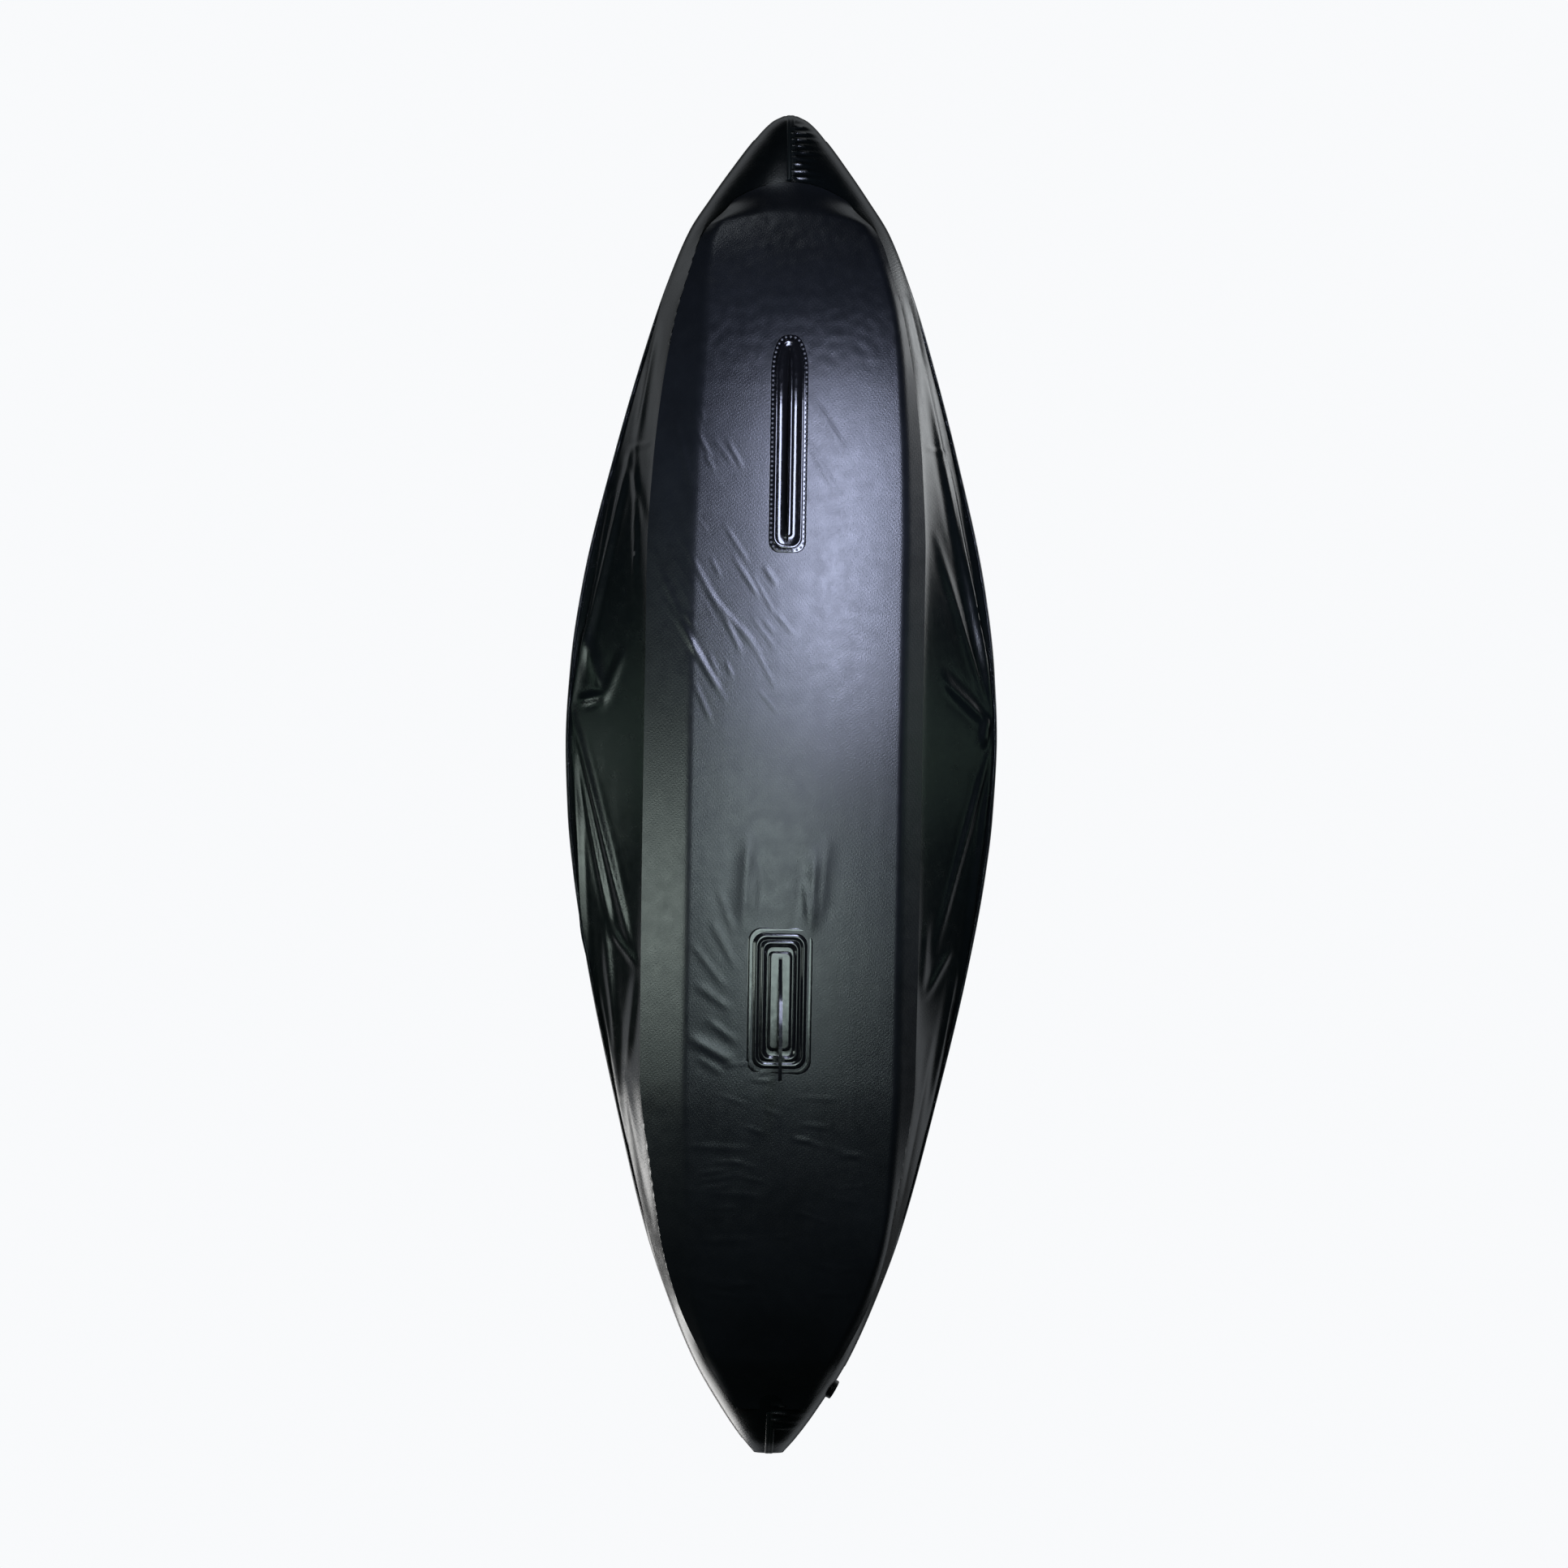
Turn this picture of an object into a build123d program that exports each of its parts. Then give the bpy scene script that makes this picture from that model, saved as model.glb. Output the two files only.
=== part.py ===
from build123d import *
import math
import os

# Inflatable kayak, one person.  Millimetres, +Y bow, +X starboard, +Z up.
# The origin is under the middle of the hull, level with the tip of the skeg.

length = 3000.0
beam = 963.0                  # over the rub strips
skeg_depth = 125.0            # skeg tip below the flat bottom
tube_width = 224.0            # side chamber, widest
floor_flat = 236.0            # half width of the flat bottom
floor_thick = 85.0
bevel_out = 72.0              # from the flat bottom's edge to the bilge
bevel_up = 48.0

nest_gap = 0.4                # between chambers that lie against each other
seat_gap = 0.3                # under anything welded on
seam_gap = 0.2                # each half of the nose from the centre plane
move_gap = 0.3                # around anything that turns or slides

deck_thick = 3.0
deck_crown = 24.0
coaming_radius = 30.0
bow_cockpit = 520.0           # cockpit ends, at the side chambers
stern_cockpit = -600.0
coaming_sweep = 160.0

seat_width = 360.0
seat_length = 365.0
seat_thick = 85.0
seat_front = -60.0
back_height = 330.0
back_thick = 70.0
back_recline = 12.0

skeg_thick = 7.5
skeg_box_size = (144.0, 324.0)
skeg_box_middle = -478.0
fin_patch_size = (88.0, 482.0)
fin_patch_middle = 750.0
fin_depth = 52.0

valve_bore = 11.1             # radius
ring_rod = 2.5                # radius
handle_rod = 6.0              # radius
handle_span = 96.0            # between the legs' middles
handle_reach = 50.0
handle_height = 13.0          # pivots above the deck

bow_handle_station = 1285.0
stern_handle_station = -1262.0
stern_valve_station = -1349.0
quarter_valve_station = -545.0
floor_valve_behind_seat = 141.0

# The offsets below are drawn for this length and beam, and stretch with the two sizes above.
drawn_length = 3000.0
drawn_beam = 963.0
stretch = length / drawn_length
widen = beam / drawn_beam

# Offsets of the hull: station, half breadth, underside and top of the side chamber.
chamber_stations = [
    (1498, 17, 262, 296),
    (1486, 40, 238, 316),
    (1442, 81, 200, 335),
    (1378, 128, 160, 343),
    (1306, 177, 128, 342),
    (1234, 222, 106, 338),
    (1126, 266, 88, 331),
    (1018, 302, 74, 324),
    (730, 382, 60, 312),
    (442, 448, 56, 307),
    (260, 472, 55, 305),
    (100, 480, 55, 305),
    (-70, 473, 55, 305),
    (-200, 459, 55, 305),
    (-422, 421, 56, 306),
    (-710, 357, 61, 309),
    (-998, 284, 74, 314),
    (-1142, 234, 88, 320),
    (-1286, 173, 116, 326),
    (-1394, 110, 156, 324),
    (-1466, 60, 200, 314),
    (-1498, 33, 236, 290),
]

# Floor chamber: station, half width of the flat, rise of the keel, share of the bevel.
floor_stations = [
    (1338, 118, 126, 0.12),
    (1260, 160, 90, 0.28),
    (1140, 192, 52, 0.42),
    (1018, 212, 28, 0.6),
    (870, 223, 12, 0.8),
    (700, 232, 3, 0.92),
    (500, floor_flat, 0, 1.0),
    (-650, floor_flat, 0, 0.95),
    (-840, 229, 9, 0.7),
    (-998, 218, 25, 0.5),
    (-1142, 186, 50, 0.4),
    (-1286, 128, 92, 0.25),
    (-1392, 72, 140, 0.1),
]

chamber_stations = [(y * stretch, half * widen, low, top) for y, half, low, top in chamber_stations]
floor_stations = [(y * stretch, flat * widen, rise, share) for y, flat, rise, share in floor_stations]
keel = skeg_depth


def between(y, stations, column):
    """Value of one column at y, straight between stations."""
    for ahead, astern in zip(stations, stations[1:]):
        if astern[0] <= y <= ahead[0]:
            share = (y - astern[0]) / (ahead[0] - astern[0])
            return astern[column] + share * (ahead[column] - astern[column])
    return stations[0][column] if y > 0 else stations[-1][column]


def chamber_span(station):
    y, outer, low, top = station
    width = min(tube_width - 22 * (y / stretch / 1018) ** 2, outer - seam_gap)
    return outer - width, outer, keel + low, keel + top


def chamber_at(y):
    station = [y] + [between(y, chamber_stations, column) for column in (1, 2, 3)]
    return chamber_span(station)


def chamber_middle(y):
    inner, outer, low, top = chamber_at(y)
    return (inner + outer) / 2


def chamber_top(y):
    return chamber_at(y)[3]


def nose_share(y):
    """0 along the sides, 1 where both chambers meet on the centre plane."""
    reach = (abs(y) / stretch - 900) / 350
    reach = max(0.0, min(1.0, reach))
    return reach * reach * (3 - 2 * reach)


def chamber_section(station, side, grow=0.0):
    y = station[0]
    inner, outer, low, top = chamber_span(station)
    middle = (inner + outer) / 2
    level = (low + top) / 2
    half = (top - low) / 2 + grow
    wide = (outer - inner) / 2 + grow
    blend = nose_share(y)

    def point(turn):
        angle = math.radians(turn)
        round_x = middle + wide * math.cos(angle)
        round_z = half * math.sin(angle)
        if abs(turn) <= 120:
            spread = math.radians(turn * 0.75)
            nose_x = inner - grow + (outer - inner + 2 * grow) * math.cos(spread)
            nose_z = half * math.sin(spread)
        else:
            nose_x = inner - grow
            nose_z = half * math.copysign((180 - abs(turn)) / 60, turn)
        x = round_x + blend * (nose_x - round_x)
        z = round_z + blend * (nose_z - round_z)
        return Vector(side * x, y, level + z)

    outside = Edge.make_spline([point(turn) for turn in range(-120, 121, 30)])
    turns = [120, 140, 160, 180]
    inside_points = [point(turn) for turn in turns]
    inside_points += [point(-turn) for turn in reversed(turns[:-1])]
    inside = Edge.make_spline(inside_points)
    return Wire([outside, inside])


def side_chamber(side, grow=0.0):
    return Solid.make_loft([chamber_section(station, side, grow) for station in chamber_stations], ruled=True)


def floor_section(station):
    y, flat, rise, share = station
    bottom = keel + rise
    out = flat + bevel_out * share
    up = bottom + bevel_up * share
    top = bottom + floor_thick * (0.35 + 0.65 * min(1.0, (length / 2 - abs(y)) / 600))
    up = min(up, top - 8)
    points = [(-flat, bottom), (flat, bottom), (out, up), (out, top), (-out, top), (-out, up)]
    return Wire.make_polygon([Vector(x, y, z) for x, z in points], close=True)


def floor_body():
    return Solid.make_loft([floor_section(station) for station in floor_stations], ruled=True)


def deck_section(y):
    edge = chamber_middle(y)
    level = chamber_top(y) + 0.5
    crown = deck_crown * min(1.0, edge / 250)
    low = [Vector(-edge, y, level), Vector(0, y, level + crown), Vector(edge, y, level)]
    high = [point + Vector(0, 0, deck_thick) for point in low]
    edges = [
        Edge.make_three_point_arc(*low),
        Edge.make_line(low[2], high[2]),
        Edge.make_three_point_arc(high[2], high[1], high[0]),
        Edge.make_line(high[0], low[0]),
    ]
    return Wire(edges)


def coaming_path(y):
    toward = math.copysign(1, y)
    edge = chamber_middle(y) + 6
    far = y + toward * coaming_sweep
    ends = chamber_top(y) + 17
    crest = chamber_top(far) + deck_crown + 24
    return Edge.make_three_point_arc(Vector(-edge, y, ends), Vector(0, far, crest), Vector(edge, y, ends))


def deck(stations, cockpit_end):
    """Fabric deck from the end of the boat to the crest of the coaming."""
    body = Solid.make_loft([deck_section(y) for y in stations], ruled=True)
    toward = math.copysign(1, cockpit_end)
    edge = chamber_middle(cockpit_end) + 6
    arc = ThreePointArc((-edge, cockpit_end), (0, cockpit_end + toward * coaming_sweep), (edge, cockpit_end))
    back = cockpit_end - toward * 200
    sides = Polyline((edge, cockpit_end), (edge + 80, cockpit_end), (edge + 80, back),
                     (-edge - 80, back), (-edge - 80, cockpit_end), (-edge, cockpit_end))
    opening = extrude(make_face(arc + sides), amount=700)
    return body - opening


def coaming(y, chambers, deck_body):
    path = coaming_path(y)
    start = path @ 0
    finish = path @ 1
    ring = Plane(origin=start, z_dir=path % 0) * Circle(coaming_radius)
    roll = sweep(ring, path=path)
    roll += Pos(start.X, start.Y, start.Z) * Sphere(coaming_radius)
    roll += Pos(finish.X, finish.Y, finish.Z) * Sphere(coaming_radius)
    for chamber in chambers:
        roll -= Pos(0, 0, seat_gap) * chamber
    return roll - Pos(0, 0, seat_gap) * deck_body - Pos(0, 0, seat_gap - 2) * deck_body


def seam_tape(toward):
    """Tape over the centre seam, from the end of the floor under the nose and round its tip."""
    first = toward * (floor_stations[0][0] + 8 if toward > 0 else 8 - floor_stations[-1][0])
    ends = [(first, 0, between(first, chamber_stations, 2), 0)]
    ends += [station for station in chamber_stations if station[0] * toward > first * toward + 20]
    ends.sort(key=lambda station: abs(station[0]))
    line = [(station[0], keel + station[2]) for station in ends]
    line.append((ends[-1][0], keel + ends[-1][3]))

    def shifted(distance):
        moved = []
        for index, (y, z) in enumerate(line):
            before = line[max(index - 1, 0)]
            after = line[min(index + 1, len(line) - 1)]
            run = Vector(after[0] - before[0], after[1] - before[1], 0).normalized()
            moved.append((y + toward * abs(run.Y) * distance, z - abs(run.X) * distance))
        return moved

    near = shifted(1.0)
    far = shifted(1.9)
    outline = make_face(Plane.YZ * Polyline(*near, *reversed(far), close=True))
    return extrude(outline, amount=9, both=True)


def rub_strip(side):
    def section(station):
        y = station[0]
        inner, outer, low, top = chamber_span(station)
        level = (low + top) / 2
        near = side * (outer + seat_gap)
        far = side * (outer + 1.5)
        corners = [(near, level - 6), (far, level - 6), (far, level + 6), (near, level + 6)]
        return Wire.make_polygon([Vector(x, y, z) for x, z in corners], close=True)

    return Solid.make_loft([section(station) for station in chamber_stations[2:-1]], ruled=True)


def on_chamber(y, lean, side):
    """Frame on the chamber's skin: z outward, leaning inboard from straight up."""
    inner, outer, low, top = chamber_at(y)
    angle = math.radians(lean)
    x = (inner + outer) / 2 - (outer - inner) / 2 * math.sin(angle)
    z = (low + top) / 2 + (top - low) / 2 * math.cos(angle)
    out = Vector(-(top - low) * math.sin(angle) * side, 0, (outer - inner) * math.cos(angle))
    return Plane(origin=(side * x, y, z), x_dir=(0, 1, 0), z_dir=out)


def patch_on(body, plane, radius, thick):
    """Round patch lying on a curved skin."""
    out = plane.z_dir
    disc = Location(plane) * Cylinder(radius, 40)
    patch = disc & (Pos(*(out * (seat_gap + thick))) * body)
    return patch - Pos(*(out * seat_gap)) * body


def valve_body():
    """Screw-in valve: z = 0 is the skin, +z outward, hinge towards +x."""
    flange = Pos(0, 0, -0.5) * Cylinder(23, 3.5, align=(Align.CENTER, Align.CENTER, Align.MIN))
    throat = Pos(0, 0, -22) * Cylinder(15, 23, align=(Align.CENTER, Align.CENTER, Align.MIN))
    body = flange + throat
    for way in (-1, 1):
        body += Pos(24.7, way * 7.2, 1.0) * Box(9.6, 4, 3.6)
        body += Pos(27, way * 7.2, 3.0) * Rot(90, 0, 0) * Cylinder(2.4, 4)
    body += Pos(27, 0, 3.0) * Rot(90, 0, 0) * Cylinder(1.1, 14)
    body -= Pos(27, 0, 1) * Box(9, 10, 12) - Pos(27, 0, 3.0) * Rot(90, 0, 0) * Cylinder(1.1, 14)
    bore = Pos(0, 0, -19) * Cylinder(valve_bore, 30, align=(Align.CENTER, Align.CENTER, Align.MIN))
    seat = Pos(0, 0, -19) * Cylinder(valve_bore + 0.9, 2, align=(Align.CENTER, Align.CENTER, Align.MIN))
    return body - bore - seat


def valve_diaphragm():
    """Rubber disc in the widened foot of the bore."""
    return Pos(0, 0, -18.7) * Cylinder(valve_bore + 0.6, 1.4, align=(Align.CENTER, Align.CENTER, Align.MIN))


def valve_cap():
    cap = Pos(0, 0, 3.3) * Cylinder(22.3, 8.2, align=(Align.CENTER, Align.CENTER, Align.MIN))
    cap = fillet(cap.edges().sort_by(Axis.Z)[-1], 2.5)
    tab = Pos(23.5, 0, 4.4) * Box(7, 9, 2.2)
    barrel = Pos(27, 0, 3.0) * Rot(90, 0, 0) * Cylinder(2.6, 9)
    hole = Pos(27, 0, 3.0) * Rot(90, 0, 0) * Cylinder(1.4, 12)
    return cap + tab + barrel - hole


def valve_pocket():
    pocket = Pos(0, 0, -23) * Cylinder(15.4, 30, align=(Align.CENTER, Align.CENTER, Align.MIN))
    pocket += Pos(0, 0, -0.9) * Cylinder(23.4, 12, align=(Align.CENTER, Align.CENTER, Align.MIN))
    return pocket + Pos(26, 0, 4.0) * Box(10, 24, 10.6)


def ring_loop(width, reach, rod):
    """D-ring lying along +y from its straight bar on the x axis."""
    bar = Rot(0, 90, 0) * Cylinder(rod, width)
    legs = None
    for way in (-1, 1):
        leg = Pos(way * width / 2, (reach - width / 2) / 2, 0) * Rot(90, 0, 0) * Cylinder(rod, reach - width / 2)
        leg += Pos(way * width / 2, 0, 0) * Sphere(rod)
        legs = leg if legs is None else legs + leg
    bend = ThreePointArc((-width / 2, reach - width / 2), (0, reach), (width / 2, reach - width / 2))
    bow = sweep(Plane(origin=bend @ 0, z_dir=bend % 0) * Circle(rod), path=bend)
    return bar + legs + bow


def ring_tab(width, rod, base):
    """Webbing folded round the straight bar, its tail down on the patch."""
    outer = rod + move_gap + 1.2
    tab = Rot(0, 90, 0) * Cylinder(outer, width)
    tab += Pos(0, -13, -base) * Box(width, 30, 4.6)
    return tab - Rot(0, 90, 0) * Cylinder(rod + move_gap, width + 2)


def grab_handle(span, reach, rod):
    """Carry handle: pivots on the x axis, grip at y = reach."""
    grip = Pos(0, reach, 0) * Rot(0, 90, 0) * Cylinder(rod + 3, span - 30)
    grip = chamfer(grip.edges(), 2)
    for way in (-1, 1):
        path = Polyline((way * span / 2, 0, 0), (way * span / 2, reach - 16, 0),
                        (way * (span / 2 - 16), reach, 0), (way * (span / 2 - 24), reach, 0))
        start = Plane(origin=(way * span / 2, 0, 0), z_dir=(0, 1, 0))
        grip += sweep(start * Circle(rod), path=path, transition=Transition.ROUND)
        grip += Pos(way * span / 2, 0, 0) * Rot(0, 90, 0) * Cylinder(rod + 1, 12)
        grip -= Pos(way * span / 2, 0, 0) * Rot(0, 90, 0) * Cylinder(3.3, 20)
    return grip


def handle_base(span, rod, base):
    """Moulded base with two pivots for the carry handle."""
    plate = Pos(0, -2, -base - 3) * Box(span + 60, 50, 10)
    plate = fillet(plate.edges().filter_by(Axis.Z), 12)
    for way in (-1, 1):
        post = Pos(way * (span / 2 + 11.3), 0, -base / 2) * Box(10, 14, base + 1)
        post += Pos(way * (span / 2 + 11.3), 0, 0) * Rot(0, 90, 0) * Cylinder(7, 10)
        pin = Pos(way * (span / 2 + 1), 0, 0) * Rot(0, 90, 0) * Cylinder(3.0, 14)
        plate += post + pin
    return plate


def handle_level(y):
    crown = deck_crown * min(1.0, chamber_middle(y) / 250)
    return chamber_top(y) + 0.5 + crown + deck_thick + handle_height


def skeg_box():
    wide, long = skeg_box_size
    box = None
    for step, (inset, down) in enumerate([(0, 2.2), (16, 4.2), (31, 6.2)]):
        tier = RectangleRounded(wide - 2 * inset, long - 2 * inset, 26 - 5 * step)
        layer = extrude(tier, amount=-down)
        box = layer if box is None else box + layer
    platform = extrude(RectangleRounded(54, 220, 12), amount=-19)
    box += platform
    channel = Pos(0, -12, -9.6) * Box(26.6, 220, 6.6)
    slot = Pos(0, -12, -16) * Box(skeg_thick + 0.8, 220, 10)
    return Pos(0, skeg_box_middle, keel - seat_gap) * (box - channel - slot)


def skeg():
    """Removable fin: foot in the box's channel, blade swept towards the stern."""
    root = skeg_box_middle + 95
    outline = [
        (root, -13.2), (root - 28, -40), (root - 92, -88), (root - 172, -118),
    ]
    tip = (root - 196, seat_gap - skeg_depth)
    trailing = [(root - 262, -116), (root - 214, -92), (root - 186, -56), (root - 178, -13.2)]
    leading = Spline(*outline, tip)
    after = Spline(tip, *trailing)
    close = Line(trailing[-1], outline[0])
    blade = Plane.YZ * make_face(leading + after + close)
    blade = extrude(blade, amount=skeg_thick / 2, both=True)
    foot = Pos(0, root - 95, -9.6) * Box(26, 188, 6)
    neck = Pos(0, root - 89, -13.6) * Box(skeg_thick, 176, 3)
    return Pos(0, 0, keel - seat_gap) * (blade + foot + neck)


def bottom_patch(outline, thick, floor):
    prism = extrude(outline, amount=60)
    prism = Pos(0, 0, keel - 30) * prism
    patch = prism & (Pos(0, 0, -seat_gap - thick) * floor)
    return patch - Pos(0, 0, -seat_gap) * floor


def fin_outline(wide, long, middle):
    half = wide / 2
    front = middle + long / 2
    back = middle - long / 2
    shoulder = front - long * 0.2
    sides = Polyline((half, shoulder), (half, back + 26), (half - 22, back), (22 - half, back),
                     (-half, back + 26), (-half, shoulder))
    nose = Spline((-half, shoulder), (-half * 0.62, front - long * 0.07), (0, front),
                  (half * 0.62, front - long * 0.07), (half, shoulder))
    return make_face(sides + nose)


def tracking_fin(floor):
    """Moulded keel fin with its own flange, lying on the welded patch."""
    front = fin_patch_middle + 214
    back = fin_patch_middle - 218
    profile = Spline((front, 30), (front - 10, -6), (front - 130, -26), (front - 300, -44),
                     (back + 40, -fin_depth), (back + 4, -34), (back, 10))
    blade = make_face(Plane.YZ * (profile + Line((back, 10), (front, 30))))
    blade = extrude(blade, amount=3.5, both=True)
    fin = Pos(0, 0, keel) * blade
    flange = Pos(0, 0, keel - 30) * extrude(fin_outline(58, 446, fin_patch_middle), amount=60)
    base = flange & (Pos(0, 0, -seat_gap * 2 - 4.2) * floor)
    return fin + base - Pos(0, 0, -seat_gap * 2 - 2.0) * floor


def seat_cushion():
    middle = seat_front - seat_length / 2
    pad = Pos(0, middle, keel + floor_thick + seat_gap + seat_thick / 2) * Box(seat_width, seat_length, seat_thick)
    pad = fillet(pad.edges().filter_by(Axis.Z), 45)
    return fillet(pad.edges().group_by(Axis.Z)[-1], 18)


def seat_hinge():
    return Vector(0, seat_front - seat_length - 1, keel + floor_thick + seat_gap + seat_thick + 0.6)


def seat_back():
    slab = Pos(0, -back_thick / 2, back_height / 2) * Box(seat_width, back_thick, back_height)
    slab = fillet(slab.edges().filter_by(Axis.Y).sort_by(Axis.Z)[-2:], 85)
    slab = fillet(slab.edges().group_by(Axis.Y)[0], 14)
    hinge = seat_hinge()
    return Pos(*hinge) * Rot(back_recline, 0, 0) * slab


ring_station = 172.0
ring_lean = 24.0


def seat_ring_plane(side):
    return on_chamber(ring_station, ring_lean, side)


def strap_points(side):
    hinge = seat_hinge()
    high = Vector(side * (seat_width / 2 + 12.4), hinge.Y - 92, hinge.Z + 240)
    ring = seat_ring_plane(side)
    low = ring.origin + ring.z_dir * 8 + Vector(0, -30 - ring_rod - 0.5, 0)
    return high, low


def strap_plane(side, share):
    """Flat of the webbing, as wide as the ring's straight bar is long."""
    high, low = strap_points(side)
    across = seat_ring_plane(side).y_dir
    return Plane(origin=high + (low - high) * share, x_dir=across, z_dir=(low - high).normalized())


def seat_strap(side):
    """Flat webbing from the backrest's corner to the ring on the side chamber."""
    high, low = strap_points(side)
    strip = strap_plane(side, 0) * Rectangle(25, 1.6)
    return extrude(strip, amount=(low - high).length)


def strap_buckle(side):
    place = Location(strap_plane(side, 0.5))
    body = place * Box(36, 9, 54)
    body = fillet(body.edges(), 2.5)
    return body - place * Box(25.6, 2.2, 80)


os.makedirs("parts", exist_ok=True)


def save(shape, node):
    if isinstance(shape, (list, ShapeList)):
        shape = Compound(children=list(shape))
    solids = shape.solids()
    if len(solids) > 1:
        largest = max(solid.volume for solid in solids)
        solids = [solid for solid in solids if solid.volume > largest * 0.02]
    result = solids[0] if len(solids) == 1 else Compound(children=solids)
    print(node, len(solids), round(sum(solid.volume for solid in solids) / 1000, 1), "cm3")
    export_step(result, f"parts/{node}.step")


starboard = side_chamber(1)
port = side_chamber(-1)
chambers = [starboard, port]
floor = floor_body()
for side in (1, -1):
    floor = floor - side_chamber(side, nest_gap)
floor = max(floor.solids(), key=lambda solid: solid.volume)

# Valves: one low at the stern on the port side, one aft of the seat on the starboard
# chamber's shoulder, one in the floor behind the seat.
stern_y = stern_valve_station * stretch
inner, outer, low, top = chamber_at(stern_y)
port_valve = Plane(origin=(-outer + 1.5, stern_y, (low + top) / 2), x_dir=(0, 0, 1), z_dir=(-0.87, -0.49, 0))
starboard_valve = on_chamber(quarter_valve_station, 22, 1)
starboard_valve = Plane(origin=starboard_valve.origin, x_dir=(0, 1, 0), z_dir=starboard_valve.z_dir)
floor_valve_y = seat_front - seat_length - floor_valve_behind_seat
floor_valve = Plane(origin=(0, floor_valve_y, keel + floor_thick), x_dir=(0, -1, 0), z_dir=(0, 0, 1))

port = port - Location(port_valve) * valve_pocket()
starboard = starboard - Location(starboard_valve) * valve_pocket()
floor = floor - Location(floor_valve) * valve_pocket()

save(starboard, "starboard_side_chamber")
save(port, "port_side_chamber")
save(floor, "floor_chamber")

for node, plane in (("port", port_valve), ("starboard", starboard_valve), ("floor", floor_valve)):
    place = Location(plane)
    save(place * valve_body(), f"{node}_valve_body")
    save(place * valve_diaphragm(), f"{node}_valve_diaphragm")
    save(place * valve_cap(), f"{node}_valve_cap")

bow_stations = [y * stretch for y in (1420, 1378, 1306, 1234, 1018, 730)] + [bow_cockpit - 20]
stern_stations = [stern_cockpit + 20] + [y * stretch for y in (-710, -998, -1142, -1286, -1394, -1425)]
bow_deck = deck(bow_stations, bow_cockpit)
stern_deck = deck(stern_stations, stern_cockpit)
save(bow_deck, "bow_deck")
save(stern_deck, "stern_deck")
save(coaming(bow_cockpit, chambers, bow_deck), "bow_coaming")
save(coaming(stern_cockpit, chambers, stern_deck), "stern_coaming")

save(seam_tape(1), "bow_seam_tape")
save(seam_tape(-1), "stern_seam_tape")
save(rub_strip(1), "starboard_rub_strip")
save(rub_strip(-1) - Location(port_valve) * Cylinder(32, 60), "port_rub_strip")

save(bottom_patch(fin_outline(*fin_patch_size, fin_patch_middle), 2.0, floor), "tracking_fin_patch")
save(tracking_fin(floor), "tracking_fin")
save(skeg_box(), "skeg_box")
save(skeg(), "skeg")

save(seat_cushion(), "seat_cushion")
save(seat_back(), "seat_back")

handles = [("bow", bow_handle_station, 180, bow_deck), ("stern", stern_handle_station, 0, stern_deck)]
for name, station, inboard, deck_body in handles:
    y = station * stretch
    place = Pos(0, y, handle_level(y)) * Rot(0, 0, inboard)
    base = place * handle_base(handle_span, handle_rod, handle_height)
    base -= Pos(0, 0, seat_gap) * deck_body
    base -= Pos(0, 0, seat_gap - 2.5) * deck_body
    for chamber in chambers:
        base -= Pos(0, 0, seat_gap) * chamber
    save(max(base.solids(), key=lambda solid: solid.volume), f"{name}_handle_base")
    save(place * grab_handle(handle_span, handle_reach, handle_rod), f"{name}_handle")

for name, side, chamber in (("starboard", 1, starboard), ("port", -1, port)):
    ring_plane = seat_ring_plane(side)
    ring_place = Location(ring_plane) * Pos(0, 0, 8) * Rot(0, 0, 90)
    patch = patch_on(chamber, ring_plane, 38, 1.4)
    tab = ring_place * ring_tab(26, ring_rod, 4.5)
    save(ring_place * ring_loop(34, 30, ring_rod), f"{name}_ring")
    save(tab - Pos(*(ring_plane.z_dir * seat_gap)) * patch, f"{name}_ring_tab")
    save(patch, f"{name}_ring_patch")
    save(seat_strap(side), f"{name}_seat_strap")
    save(strap_buckle(side), f"{name}_strap_buckle")
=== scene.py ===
import bpy, bmesh, functools, math, random
from mathutils import Vector, Matrix, noise


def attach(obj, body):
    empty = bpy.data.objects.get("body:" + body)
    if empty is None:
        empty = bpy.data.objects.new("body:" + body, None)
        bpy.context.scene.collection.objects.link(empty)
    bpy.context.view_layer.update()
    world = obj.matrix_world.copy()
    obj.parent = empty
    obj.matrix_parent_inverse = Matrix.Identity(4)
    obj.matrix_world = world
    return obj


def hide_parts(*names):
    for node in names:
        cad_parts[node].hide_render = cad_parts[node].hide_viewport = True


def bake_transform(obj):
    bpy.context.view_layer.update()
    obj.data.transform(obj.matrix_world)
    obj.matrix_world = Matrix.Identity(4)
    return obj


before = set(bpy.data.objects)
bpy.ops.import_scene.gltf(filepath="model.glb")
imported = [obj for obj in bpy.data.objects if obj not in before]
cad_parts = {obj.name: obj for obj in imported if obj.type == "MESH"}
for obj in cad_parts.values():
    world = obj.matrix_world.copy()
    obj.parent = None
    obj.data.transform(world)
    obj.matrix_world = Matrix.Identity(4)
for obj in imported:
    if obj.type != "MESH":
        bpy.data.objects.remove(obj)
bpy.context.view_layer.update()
scene = bpy.context.scene
print("frame loaded:", len(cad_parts), "CAD pieces")

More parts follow.
